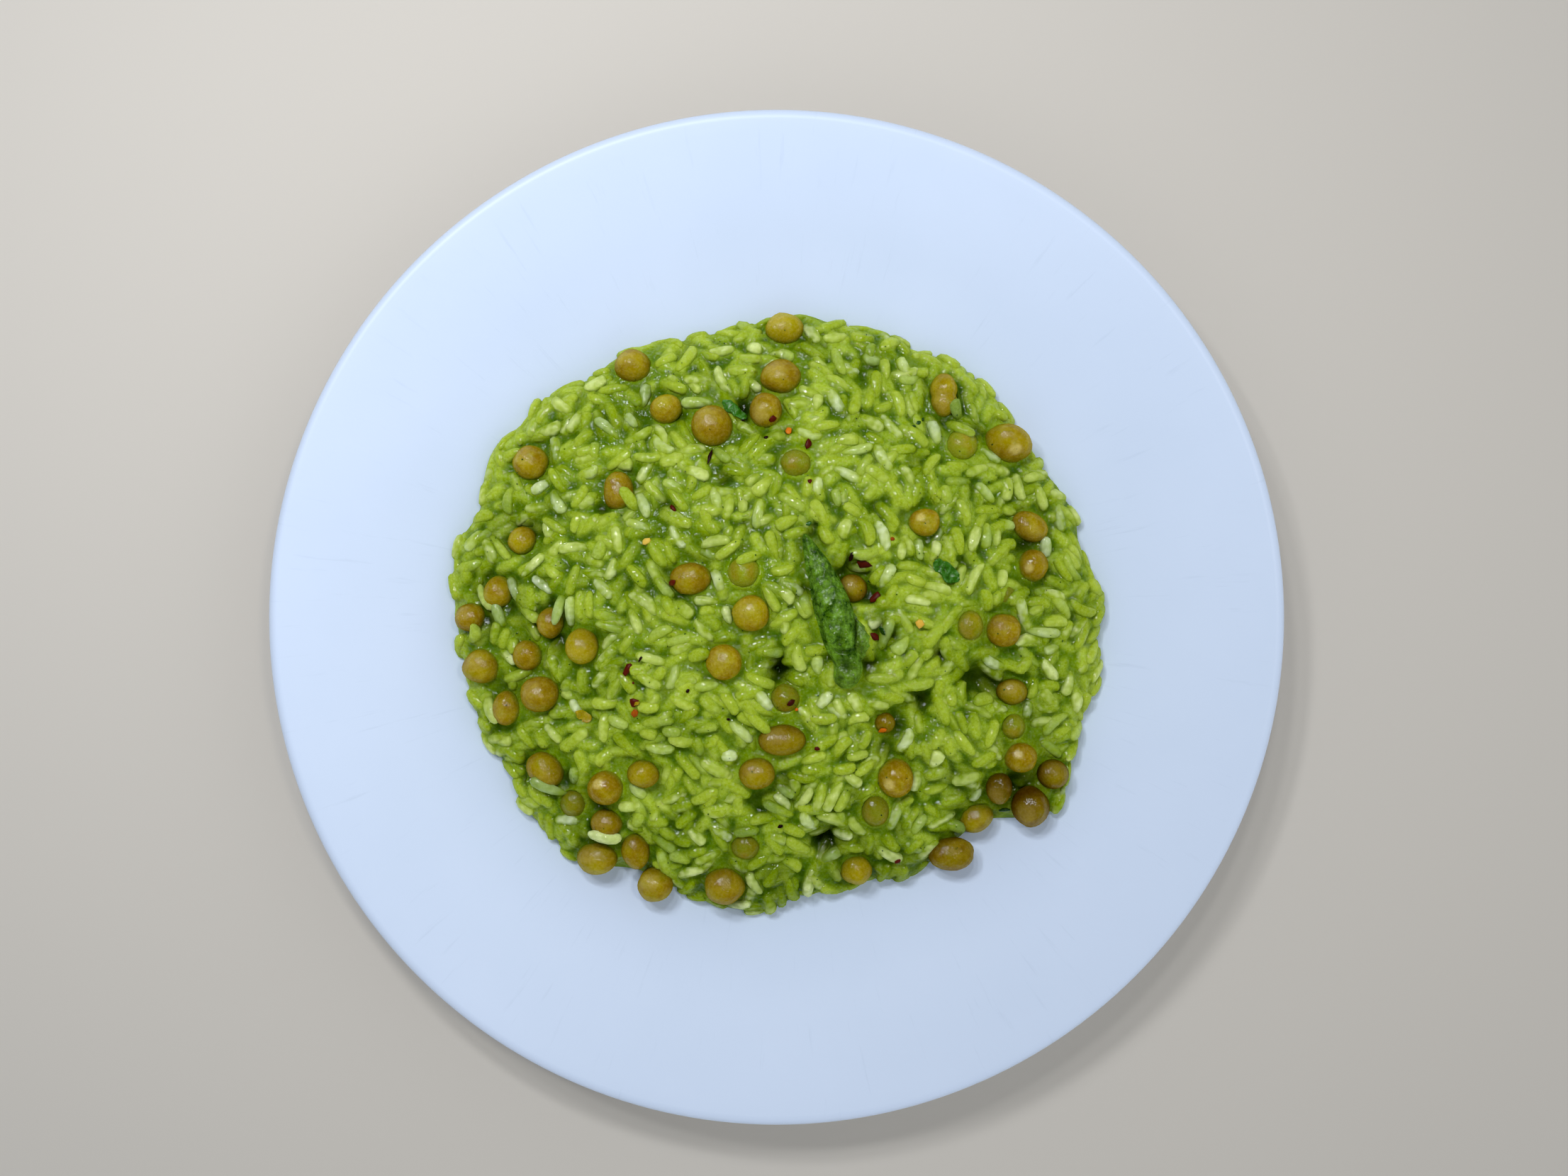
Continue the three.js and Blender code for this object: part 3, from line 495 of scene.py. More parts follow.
# Grains: three layers thrown one after another, each sunk less than the one before
rice = {
    "length": (6.2, 9.2), "width": (2.8, 3.6), "thicknessShare": 0.86, "roundness": 3.7,
    "seed": 11, "sides": 8, "stations": (-0.96, -0.76, -0.28, 0.28, 0.76, 0.96), "flowSpread": 0.6,
    # room kept to the edge, in millimetres, and as shares of the width to a pea, with what each layer adds,
    # and to the tip; where no grain is thrown: share of a pool, and size, level and seed of a lattice
    "edgeRoom": 0.4, "peaRoom": (0.2, 0.12), "tipRoom": 0.35, "poolLimit": 0.5, "sparse": (13, -0.75, 5),
    # smooth pools with no grain on top: x, y, half sizes
    "pools": [
        (-5, -49.5, 7, 3.5), (13, -61, 7, 4), (27, 30, 5, 4), (25, -13.5, 4, 5), (0.5, -13, 3, 4),
        (54, -17, 6, 3.5), (36, -24, 7, 4), (42, -10, 3, 3),
    ],
    # grains laid first, where they are clearest: x, y, degrees, length, bare of sauce or not
    "placed": [
        (-44.1, 61.5, 8, 8.5, 0), (-49, 62.9, 30, 7, 0), (-21.4, 57.4, 0, 8.5, 1), (-15, 71.7, 8, 7.5, 0),
        (-30.1, 69.3, 25, 6.5, 0), (-6, 72.5, -15, 4.5, 0), (-21.1, 63.5, -3, 8, 0),
        (-45.3, 50.4, -40, 8.5, 1), (-61.6, 50.4, 20, 8, 0), (-66.3, 51.3, 70, 6.5, 1),
        (-71.8, 43.7, 20, 6, 0), (-50.8, 44.3, 20, 6, 0), (-48.8, 44.5, 80, 5, 1), (-42.1, 41.6, 35, 8, 0),
        (-34.2, 42.2, -5, 8, 0), (-30.4, 45.4, -40, 7.5, 1), (-22, 44.3, 8, 7.5, 0),
        (-14.4, 42.8, -40, 6, 1), (-21.4, 38.1, -20, 8, 0), (-3.9, 44.8, 40, 9, 0), (-27.5, 41.3, 18, 7, 0),
        (-26.9, 34.3, -30, 6.5, 1), (-63.4, 34.9, 30, 5.5, 1), (-52.3, 32, 60, 7, 0),
        (-72.4, 31.4, 85, 7.5, 1), (-70.4, 36.1, -65, 7, 0), (-31.9, 32.9, -45, 8, 0),
        (-35.1, 29.7, -65, 7.5, 1), (-38.3, 30.8, -60, 7, 0), (-19.6, 32.6, 30, 6.5, 0),
        (-15.9, 30.8, -75, 7, 1), (-12.7, 29.1, 80, 7.5, 0), (-9.2, 30.6, -80, 7, 0),
        (-3.3, 34.9, 45, 8, 0), (-4.8, 27.1, 80, 8, 1), (-18.2, 25.3, -75, 6.5, 0),
        (-16.4, 23.3, -45, 4, 0), (-59.3, 24.4, -32, 8, 0), (-61, 23, -65, 6, 0), (-53.2, 25, 70, 5.5, 0),
        (-36.3, 24.1, -20, 7.5, 1), (-25.2, 25, -10, 6.5, 0), (-26.1, 21.2, -60, 7.5, 1),
        (-53.8, 18.3, 5, 8.5, 0), (-46.5, 18, 70, 6, 1), (-15.9, 19.8, 10, 8, 0), (-12.7, 17.7, 35, 8, 0),
        (-6.8, 15.7, 20, 7, 0), (-74.8, 18.6, -50, 9, 0), (-77.4, 17.7, -70, 7, 0), (-67.5, 27.3, 25, 8, 0),
        (-79.7, 26.8, 20, 6.5, 0), (-8.6, 61.2, 80, 6, 0), (-38.9, 52.4, -50, 5, 1), (9.4, 76.9, -55, 7, 0),
        (16.6, 68.7, -70, 8.5, 1), (20.7, 66.7, 65, 6.5, 0), (12, 66.4, -35, 8, 0),
        (16.6, 62.6, -30, 8.5, 0), (15.8, 75.5, 5, 7, 0), (23.4, 75.5, -5, 6.5, 0), (30.6, 74, 30, 7, 0),
        (34.7, 67, -60, 7, 1), (35.9, 63.8, 5, 6, 1), (39.1, 66.1, 0, 4.5, 0), (25.4, 71.7, 80, 4.5, 1),
        (10.8, 56.8, 80, 5, 0), (21, 57.4, 75, 8, 0), (32.7, 57.1, -75, 8, 0), (36.8, 57.7, -75, 6, 0),
        (25.1, 51.5, -30, 7.5, 0), (30.3, 50.7, -50, 9, 1), (13.4, 50.7, 5, 7, 0), (21.3, 44.3, 12, 9, 1),
        (16.6, 41, 0, 8, 0), (28, 42.2, -60, 8.5, 1), (19, 37.6, -25, 9.5, 1), (26.6, 37.6, -35, 7.5, 0),
        (34.7, 37.3, -60, 7, 0), (31.8, 32, -50, 8.5, 0), (41.7, 32.9, -65, 6.5, 0),
        (44.9, 32.3, -70, 5.5, 1), (42.3, 49.5, -75, 7, 1), (49, 50.4, -32, 8, 0), (48.1, 40.2, 5, 6, 0),
        (48.1, 55.3, -60, 5, 1), (52.2, 62.9, -55, 7.5, 0), (53.4, 54.2, -75, 8.5, 0),
        (57.5, 43.7, -35, 7.5, 1), (55.7, 33.2, -50, 7, 1), (56.9, 28.5, 0, 8.5, 0),
        (65.3, 34.9, -75, 8, 0), (62.1, 34.3, 80, 6.5, 0), (71.5, 32, -70, 7, 0), (61.5, 24.4, 0, 4.5, 1),
        (4.1, 30.3, -30, 8.5, 1), (11.6, 27, -60, 8.5, 0), (12.8, 21.8, -58, 6, 0),
        (10.8, 34.3, 90, 5.5, 1), (8.2, 34.3, 80, 6, 0), (15.8, 31.4, -75, 5, 1), (20.1, 27.9, -35, 6, 0),
        (23.4, 23, -65, 8.5, 0), (17.8, 23.3, 65, 5.5, 0), (27.7, 21.5, -70, 8.5, 1), (33, 18, 75, 6, 0),
        (37.6, 18, -85, 6, 1), (41.7, 17.4, 70, 6, 0), (2.7, 25, 25, 7, 0), (5, 22.1, 15, 7, 0),
        (23.1, 16.9, 5, 8, 1), (55.7, 21.5, 85, 7, 1), (58.6, 22.1, 85, 7, 0), (72.6, 18.6, -85, 6, 1),
        (49.6, 27.6, -70, 8, 0), (62.7, 28.5, -10, 4.5, 0), (-70.7, 7.4, -60, 8, 1),
        (-78.8, 5.1, -60, 8, 0), (-75, 0.4, -70, 7.5, 1), (-66.9, 1.6, -40, 9, 0), (-65.7, 5.7, 85, 5, 0),
        (-57.6, 2.4, 80, 8.5, 1), (-54.5, 1.3, 86, 8.5, 1), (-53.8, 9.7, 75, 9, 0),
        (-49.4, 3.3, 90, 7.5, 0), (-45.6, 7.7, -45, 7, 1), (-36.6, 10.9, -50, 7.5, 0),
        (-29.6, 8, -50, 7.5, 1), (-37.1, -1, -70, 7.5, 0), (-30.7, -4.3, 32, 8, 1), (-28.1, 3, -60, 6.5, 0),
        (-19.1, -3.4, -50, 7.5, 0), (-17.9, 1.6, 0, 4.5, 0), (-15.3, 9.7, -70, 7, 1),
        (-24.3, 2.2, -40, 6, 0), (-20.2, -9.8, 15, 6.5, 0), (-73.3, -6, 70, 6, 0),
        (-72.4, -10.7, -40, 6, 0), (-71, -7.5, -75, 5, 0), (-69.5, -15.6, 20, 8.5, 0),
        (-59.3, -13.9, -75, 8, 0), (-56.1, -18.5, 60, 4.5, 1), (-53.5, -24.1, -60, 5.5, 1),
        (-77.4, -24.7, -65, 9, 0), (-45.6, -29.3, 85, 8, 0), (-40.1, -33.7, -45, 9, 0),
        (-53.8, -32.8, 42, 9, 0), (-59.9, -31.1, -45, 7, 0), (-63.4, -32.8, -70, 6, 0),
        (-67.5, -32.8, -55, 7, 0), (-31, -27.3, 5, 8.5, 1), (-27.5, -29.9, -5, 5, 1),
        (-33.6, -23.5, 0, 6, 0), (-33.6, -16.5, -30, 7.5, 0), (-39.5, -17.1, -50, 7, 0),
        (-41.8, -27.6, -20, 6, 1), (-36.3, -13.9, 0, 4.5, 0), (-33.6, -30.5, -10, 5, 0),
        (-30.7, -34.3, -5, 8, 1), (-24.9, -32.2, -10, 7, 0), (-23.4, -39.2, -50, 9, 0),
        (-16.2, -39.8, -30, 9, 0), (-20.5, -34, -75, 5.5, 1), (-17, -32.8, 35, 5, 0),
        (-12.4, -36.3, 0, 4.5, 1), (-9.4, -29.9, -40, 8, 1), (-5.1, -27, -40, 9, 0),
        (-3.3, -21.7, -50, 7, 1), (-6.8, -24.1, -60, 6, 0), (-4.2, -16.5, -25, 8.5, 0),
        (-12.1, -22.3, -55, 7, 0), (-1, -8.9, 0, 6, 1), (-27.8, -43.3, 75, 6.5, 0),
        (-19.1, -47.7, 25, 8.5, 0), (-10.9, -45.1, -35, 9.5, 0), (-15.6, -51.5, 10, 8, 0),
        (-37.1, -46.2, -45, 6, 1), (-54.3, -42.7, 80, 5, 1), (-60.8, -45.7, -28, 9.5, 1),
        (-65.1, -48, -50, 7, 0), (-71.5, -37.5, -35, 7, 0), (-46.2, -37.5, 40, 5, 0),
        (-59.9, 12.1, -35, 6, 0), (-12.9, 0.7, -70, 5, 0), (-81.5, -4.8, 70, 6, 0), (2.4, 5.9, -35, 5.5, 0),
        (5.9, -10.4, -80, 7.5, 0), (9.7, -8.6, 0, 5, 0), (10.8, -12.4, -85, 5.5, 1),
        (14.3, -14.8, 85, 7, 1), (4.7, -16.2, -15, 6, 0), (27.7, -15.9, 5, 9, 1), (12.6, -21.5, 50, 5.5, 1),
        (11.7, -26.4, 0, 8.5, 0), (16.4, -23.5, -70, 5, 0), (28.6, -4.3, 70, 9, 1), (30, 5.7, 65, 7, 0),
        (26, -1.3, 20, 4.5, 0), (33.6, -0.8, -60, 8, 1), (32.7, -7.2, 45, 6, 1), (42.3, 7.7, -15, 8, 0),
        (45.8, -0.5, 50, 9, 0), (41.1, -4.8, 45, 8, 0), (39.4, -9.2, 60, 5, 0), (45.2, -8.6, -70, 7.5, 0),
        (49, -11.8, -55, 7, 0), (57.5, -11.8, -28, 7.5, 1), (65.3, 1.6, -75, 8, 1), (71.5, -4, -5, 9.5, 1),
        (67.4, -6.3, -3, 8, 0), (74.4, 5.7, -15, 7, 0), (69.7, 2.4, 35, 5.5, 0), (76.7, 2.4, -50, 8, 1),
        (74.7, -1.3, 0, 7, 0), (77.9, -3.7, 65, 6, 0), (73.8, -8.6, 20, 4.5, 1), (82.5, -4.8, 70, 9, 0),
        (82.5, 2.2, -25, 8, 0), (66.5, -12.4, 50, 7, 0), (52.2, 10.3, 65, 9.5, 0), (55.7, 4.5, -80, 6, 0),
        (58.3, 5.1, 60, 4.5, 0), (78.8, -18, 75, 7, 0), (75, -28.7, 38, 9, 1), (74.4, -35.7, -35, 8, 1),
        (43.8, -24.4, -70, 9.5, 0), (43.2, -19.4, 85, 6, 0), (42.6, -32.2, 60, 6, 0),
        (49.6, -33.4, -50, 8.5, 0), (45.8, -34, -80, 5, 0), (57.2, -31.1, 68, 8, 0), (56, -37.5, 25, 9, 0),
        (34.1, -32.8, 55, 7, 1), (46.4, -21.7, 90, 4.5, 0), (55.1, -22.3, 10, 6, 0),
        (67.7, -25.2, 70, 5, 1), (69.1, -19.4, 80, 6, 0), (13.1, -32.8, 30, 7, 0), (23.1, -32.2, 60, 6, 0),
        (21.3, -36.3, 10, 6, 0), (23.4, -39.5, 40, 7, 0), (9.7, -36.9, 20, 7, 0), (17.8, -39.8, 10, 6, 0),
        (6.7, -42.2, -5, 8, 0), (2.4, -45.7, -30, 6, 1), (7.3, -48, 55, 8, 0), (11.4, -47.4, 75, 8, 0),
        (14.9, -47.4, 60, 9.5, 0), (17.5, -48.6, 60, 7, 0), (14.9, -53.8, -20, 9, 0),
        (21.6, -56.2, -45, 7, 0), (8.5, -54.4, -50, 7, 1), (17.8, -58.2, -15, 6, 0),
        (20.4, -62.3, -5, 7.5, 0), (14.6, -64.6, 30, 6.5, 1), (30.1, -63.7, -30, 8.5, 0),
        (35.9, -54.4, 55, 7.5, 0), (37.1, -62, 40, 6.5, 0), (44.6, -55, 25, 8.5, 0),
        (48.1, -56.7, -10, 5.5, 1), (42.9, -41.6, 20, 7, 0), (37.3, -43.9, 75, 6, 0),
        (47.6, -49.2, 15, 7, 0), (53.7, -48, 60, 4.5, 1), (5.6, -61.4, -35, 8, 0), (4.1, -66.7, -30, 6, 0),
        (42.3, -37.5, 60, 5, 0), (20.1, -42.7, -40, 6, 0), (28.9, 10.9, 60, 7, 1), (36.5, 9.7, -20, 6, 0),
        (37, 4.5, -10, 7, 0), (21.3, -26.4, 20, 6, 0), (20.7, -22.3, -60, 6, 0), (59.8, 10.3, 80, 5, 0),
        (-63.3, -48.3, -55, 8, 0), (-56.6, -55, 0, 7, 1), (-56.2, -59.5, -55, 8, 0),
        (-45.8, -58.4, -20, 8.5, 0), (-10.3, -49.8, -85, 6, 0), (-8.1, -57.2, 10, 7, 1),
        (-14.8, -57.6, -35, 7, 1), (-32, -55, 0, 6, 0), (-29.4, -58, -35, 6, 0), (-30.5, -61, -30, 8, 1),
        (-25.3, -60.2, -10, 5, 0), (-21.5, -58.7, -40, 6, 0), (-26, -64.7, -20, 6, 1),
        (-25.3, -50.5, 15, 6, 0), (-1.4, -69.9, 60, 7, 0), (-6.2, -72.2, -60, 7, 0),
        (-37.2, -54.2, 60, 4.5, 1),
    ],
    # height of the middle, most tilt, how far the sauce wraps up one that is coated and one that is bare,
    # and how high one rests on a pea, as a share of its width
    "placedMiddle": (0.1, 0.75), "placedTilt": 6, "placedWrap": (0.42, 0.94), "bareWrap": (0.35, 0.75),
    "peaRest": 0.32,
    # how deep a grain's film of sauce reaches, and its patches: how strong, size, seed
    "bendSpread": 0.055, "taperSpread": 0.17, "filmDepth": 1.1, "filmPatches": (0.35, 1.6, 9),
    # half side of the part of the relief that a grain changes, and how steeply its skirt falls; the pale
    #     # cover over a grain: how soon it is full, from what depth, and how much on one of a middle tone;
    #     and the
    #     # painted light on a grain that stands high
    "reach": 6.9, "skirtFall": 1.3, "cover": (1.3, 0.7, 0.62), "highPaintedLight": 0.25,
    # tries, how many at most, room kept between centre lines as a share of the width, height of the
    # middle, most tilt in degrees, how far the sauce wraps up a grain, share that is bare of sauce
    "layers": [
        (9000, 760, 0.76, (-0.9, -0.5), 6, (1, 1), 0),
        (14000, 700, 0.68, (-0.5, 0.1), 9, (0.62, 1), 0.15),
        (14000, 420, 0.74, (0.05, 0.7), 12, (0.42, 0.94), 0.24),
    ],
}
random = np.random.default_rng(rice["seed"])


def flowAngle(u, v):
    # direction that neighbouring grains share, turning slowly over the heap
    return pi * (0.5 * np.sin(u / 21 + 1.6 * np.sin(v / 29)) + 0.6 * np.cos(v / 18 - u / 37))


def poolShare(u, v):
    shares = [np.exp(-((u - x) / a) ** 2 - ((v - y) / b) ** 2) for x, y, a, b in rice["pools"]]
    return np.max(shares, axis=0)


def centreLines(u, v, length, turn):
    # five points along the middle of each grain, and how far along they are
    along = np.array([-0.42, -0.21, 0, 0.21, 0.42]) * length[:, None]
    return u[:, None] + along * np.cos(turn)[:, None], v[:, None] + along * np.sin(turn)[:, None], along


def grainForms(count):
    # how milky, how bent and how tapered each grain is
    return {
        "tone": random.uniform(-1, 1, count), "bend": random.normal(0, rice["bendSpread"], count),
        "taper": random.normal(0, rice["taperSpread"], count),
    }


def outerLimit(angle):
    # how far out a grain may reach, as an unrolled distance
    return edgeRadius(angle) - heap["shoulderWidth"] + shoulderArc - rice["edgeRoom"]


def placeGrains():
    # the listed grains; one that meets a pea rests on it, tilted by a straight line fitted to the heights
    x, y, degrees, length, bare = np.array(rice["placed"], float).T
    count = len(x)
    u, v = unroll(x, y)
    turn = np.radians(degrees)
    width = random.uniform(*rice["width"], count)
    middle = random.uniform(*rice["placedMiddle"], count)
    tilt = np.radians(random.uniform(-rice["placedTilt"], rice["placedTilt"], count))
    lineU, lineV, along = centreLines(u, v, length, turn)
    height = middle[:, None] + along * np.sin(tilt)[:, None] - dip(lineU, lineV)
    height = np.maximum(height, peaTop(lineU, lineV) + rice["peaRest"] * width[:, None])
    slope = (height * along).sum(1) / (along ** 2).sum(1)
    bareWrap = random.uniform(*rice["bareWrap"], count)
    wrap = np.where(bare > 0, bareWrap, random.uniform(*rice["placedWrap"], count))
    return {
        "u": u, "v": v, "length": length, "width": width, "turn": turn, "middle": height.mean(1),
        "tilt": np.arctan(slope), "wrap": wrap, "bare": bare > 0, **grainForms(count),
    }


def throwGrains(layer, number):
    # random places are tried in turn, and a grain stays where its centre line is clear of its own layer,
    # of the peas and of the asparagus tip
    tries, most, spacing, middle, mostTilt, wrap, bareShare = layer
    reach = np.sqrt(random.random(tries))
    angle = random.random(tries) * 2 * pi
    limit = outerLimit(angle)
    u, v = reach * limit * np.cos(angle), reach * limit * np.sin(angle)
    length = random.uniform(*rice["length"], tries)
    width = random.uniform(*rice["width"], tries)
    turn = flowAngle(u, v) + random.normal(0, rice["flowSpread"], tries)
    lineU, lineV, _ = centreLines(u, v, length, turn)
    inside = np.hypot(lineU, lineV) < outerLimit(np.arctan2(lineV, lineU))
    peaRoom, addedRoom = rice["peaRoom"]
    room = roomToPeas(lineU, lineV) - width[:, None] * (peaRoom + addedRoom * number)
    tipRoom = roomToTip(lineU, lineV) - width[:, None] * rice["tipRoom"]
    clear = (room > 0).all(1) & (tipRoom > 0).all(1) & inside.all(1)
    if number > 0:
        clear &= poolShare(u, v) < rice["poolLimit"]
    keptLines, kept = np.empty((0, 2)), []
    if number == len(rice["layers"]) - 1:
        # the top layer is thinner in places, and keeps clear of the listed grains
        size, level, seed = rice["sparse"]
        clear &= latticeNoise(u, v, size, seed) > level
        placedU, placedV, _ = centreLines(placed["u"], placed["v"], placed["length"], placed["turn"])
        keptLines = np.stack([placedU.ravel(), placedV.ravel()], -1)
    for i in np.flatnonzero(clear):
        line = np.stack([lineU[i], lineV[i]], -1)
        if len(keptLines):
            gaps = np.hypot(*(line[:, None] - keptLines).transpose(2, 0, 1))
            if gaps.min() < width[i] * spacing:
                continue
        keptLines = np.concatenate([keptLines, line])
        kept.append(i)
        if len(kept) == most:
            break
    count = len(kept)
    return {
        "u": u[kept], "v": v[kept], "length": length[kept], "width": width[kept], "turn": turn[kept],
        "middle": random.uniform(*middle, count) - dip(u[kept], v[kept]),
        "tilt": np.radians(random.uniform(-mostTilt, mostTilt, count)),
        "wrap": random.uniform(*wrap, count), "bare": random.random(count) < bareShare,
        **grainForms(count),
    }


placed = placeGrains()
layers = [throwGrains(layer, number) for number, layer in enumerate(rice["layers"])] + [placed]
print("grains in each layer:", [len(layer["u"]) for layer in layers])
grains = {key: np.concatenate([layer[key] for layer in layers]) for key in layers[0]}
grains["thickness"] = grains["width"] * rice["thicknessShare"]

# Relief of the sauce over the bare heap, on a raster of unrolled places
rasterReach = 102
rasterSide = np.arange(-rasterReach, rasterReach + heap["rasterStep"], heap["rasterStep"])
rasterU, rasterV = np.meshgrid(rasterSide, rasterSide, indexing="ij")


def rasterPatch(u, v, reach):
    # the square part of the raster round a place
    patch = int(reach / heap["rasterStep"])
    column = int(round((u + rasterReach) / heap["rasterStep"]))
    row = int(round((v + rasterReach) / heap["rasterStep"]))
    return slice(max(column - patch, 0), column + patch), slice(max(row - patch, 0), row + patch)


def makeRelief():
    # every grain adds its back, an ellipse cut off where the sauce ends, by a soft maximum; round the peas
    # the sauce gives way to just below their middles and then climbs a little, as at the tip
    relief = latticeSum(rasterU, rasterV, heap["lumps"]) - dip(rasterU, rasterV)
    cover = np.zeros_like(relief)
    top = relief.copy()
    coverGrowth, coverDepth, coverMean = rice["cover"]
    for u, v, length, width, turn, middle, tilt, wrap, thickness, tone in zip(*(grains[key] for key in (
        "u", "v", "length", "width", "turn", "middle", "tilt", "wrap", "thickness", "tone",
    ))):
        part = rasterPatch(u, v, rice["reach"])
        along, across = turned(rasterU[part] - u, rasterV[part] - v, -turn)
        share = 1 - np.abs(2 * along / length) ** rice["roundness"] - (2 * across / width) ** 2
        arch = np.sign(share) * np.sqrt(np.abs(share)) * thickness / 2
        slope = middle + along * math.sin(tilt)
        back = slope + np.where(arch > 0, arch * (2 * wrap - 1), arch * rice["skirtFall"])
        lifted = softMax(relief[part], back, heap["filletWidth"])
        over = smooth(share * coverGrowth) * smooth((back - relief[part]) / coverDepth + 1)
        over = over * (coverMean + (1 - coverMean) * tone)
        cover[part] = np.maximum(cover[part] * np.clip(1 - share * 2, 0, 1), over)
        relief[part] = lifted
        top[part] = np.maximum(np.maximum(top[part], lifted), np.where(arch > 0, slope + arch, farBelow))
    for number in range(peaCount):
        part = rasterPatch(peaU[number], peaV[number], peaLooks["reach"])
        share, room = (values[..., 0] for values in peaShares(rasterU[part], rasterV[part], [number]))
        room = np.maximum(room, 0)
        level = peaLevel[number] - 0.4 * (share < 0.8)
        relief[part] -= np.exp(-(room / peaLooks["moat"]) ** 2) * np.maximum(relief[part] - level, 0)
        if coatedPea[number]:
            lap = peaLevel[number] - peaLooks["lapDrop"] - peaLooks["lapSlope"] * room
            relief[part] = np.where(share > 0.75, softMax(relief[part], lap, 1), relief[part])
        relief[part] += peaLooks["meniscus"] * np.exp(-room / peaLooks["meniscusWidth"]) * (share > 0.9)
    climb, climbWidth = heap["tipMeniscus"]
    relief += climb * np.exp(-np.maximum(roomToTip(rasterU, rasterV), 0) / climbWidth)
    top = np.maximum(top, relief)
    hollow = blurred(top, heap["hollowBlur"]) - relief
    return relief, blurred(cover, heap["coverBlur"]), top, hollow


relief, cover, topRelief, hollow = makeRelief()
print("relief made: from %.2f to %.2f mm" % (relief.min(), relief.max()))


def readRaster(raster, u, v):
    # value between the four nearest raster points
    column, row = (u + rasterReach) / heap["rasterStep"], (v + rasterReach) / heap["rasterStep"]
    i, j = np.floor(column).astype(int), np.floor(row).astype(int)
    shareU, shareV = column - i, row - j
    near = raster[i, j] * (1 - shareU) + raster[i + 1, j] * shareU
    far = raster[i, j + 1] * (1 - shareU) + raster[i + 1, j + 1] * shareU
    return near * (1 - shareV) + far * shareV


def frothShare(u, v):
    # how frothy the sauce is: the listed patches with ragged edges
    shares = [np.exp(-((u - x) ** 2 + (v - y) ** 2) / radius ** 2) for x, y, radius in heap["froth"]]
    ragged, size, seed = heap["frothEdge"]
    return np.clip(np.max(shares, axis=0) * 1.4 + ragged * latticeNoise(u, v, size, seed) - 0.1, 0, 1)


def makeSauce(material):
    # square grid laid on the disc: the square ring of half side m becomes the circle of radius m, and the
    # share along a side an angle; then each place is lifted by the relief
    cells = heap["cells"]
    side = np.linspace(-1, 1, cells + 1)
    a, b = np.meshgrid(side, side, indexing="ij")
    wide = np.abs(a) >= np.abs(b)
    signed = np.where(wide, a, b)
    ratio = np.divide(np.where(wide, b, a), signed, out=np.zeros_like(a), where=signed != 0)
    turn = np.where(wide, ratio * pi / 4, pi / 2 - ratio * pi / 4)
    x, y = signed * np.cos(turn), signed * np.sin(turn)
    angle = np.arctan2(y, x)
    edgeReach = edgeRadius(angle) - heap["shoulderWidth"] + shoulderArc
    share = np.hypot(x, y)
    u, v = x * edgeReach, y * edgeReach
    fade = smooth((1 - share) * edgeReach / heap["edgeFade"])
    lift = readRaster(relief, u, v) * fade
    topPoints = liftedPoint(u, v, lift).reshape(-1, 3)
    numbers = np.arange((cells + 1) ** 2).reshape(cells + 1, cells + 1)
    rim = np.concatenate([numbers[:-1, 0], numbers[-1, :-1], numbers[:0:-1, -1], numbers[0, :0:-1]])
    quads = np.stack([numbers[:-1, :-1], numbers[1:, :-1], numbers[1:, 1:], numbers[:-1, 1:]], -1)
    # the underside dips just into the glaze, so that no gap shows at the edge
    under = []
    for part in heap["underRings"]:
        ring = topPoints[rim] * [part, part, 0]
        ring[:, 2] = plateTop(np.hypot(ring[:, 0], ring[:, 1])) - heap["underDip"]
        under.append(ring)
    corners = np.concatenate([topPoints, *under, [[0, 0, plate["floorHeight"] - heap["underDip"]]]])
    count = len(rim)
    rows = np.concatenate([rim, len(topPoints) + np.arange(len(under) * count)]).reshape(-1, count)
    beside = np.roll(rows, -1, axis=1)
    skirt = np.stack([rows[1:], beside[1:], beside[:-1], rows[:-1]], -1)
    pole = np.full(count, len(corners) - 1)
    fan = np.stack([rows[-1], pole, beside[-1]], -1)
    # the hollow and the field of painted shade, which below 0 is painted light, set the sauce's colour
    onTop = {
        "hollow": readRaster(hollow, u, v), "cover": readRaster(cover, u, v),
        "froth": frothShare(u, v), "paintedShade": paintedShadeAt(u, v),
    }
    below = np.zeros(len(corners) - len(topPoints))
    attributes = {key: np.concatenate([values.ravel(), below]) for key, values in onTop.items()}
    faces = np.concatenate([quads.reshape(-1, 4), skirt.reshape(-1, 4)]), fan
    piece = makePiece("peaSauce", corners, faces, material, attributes)
    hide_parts("risotto")
    return piece


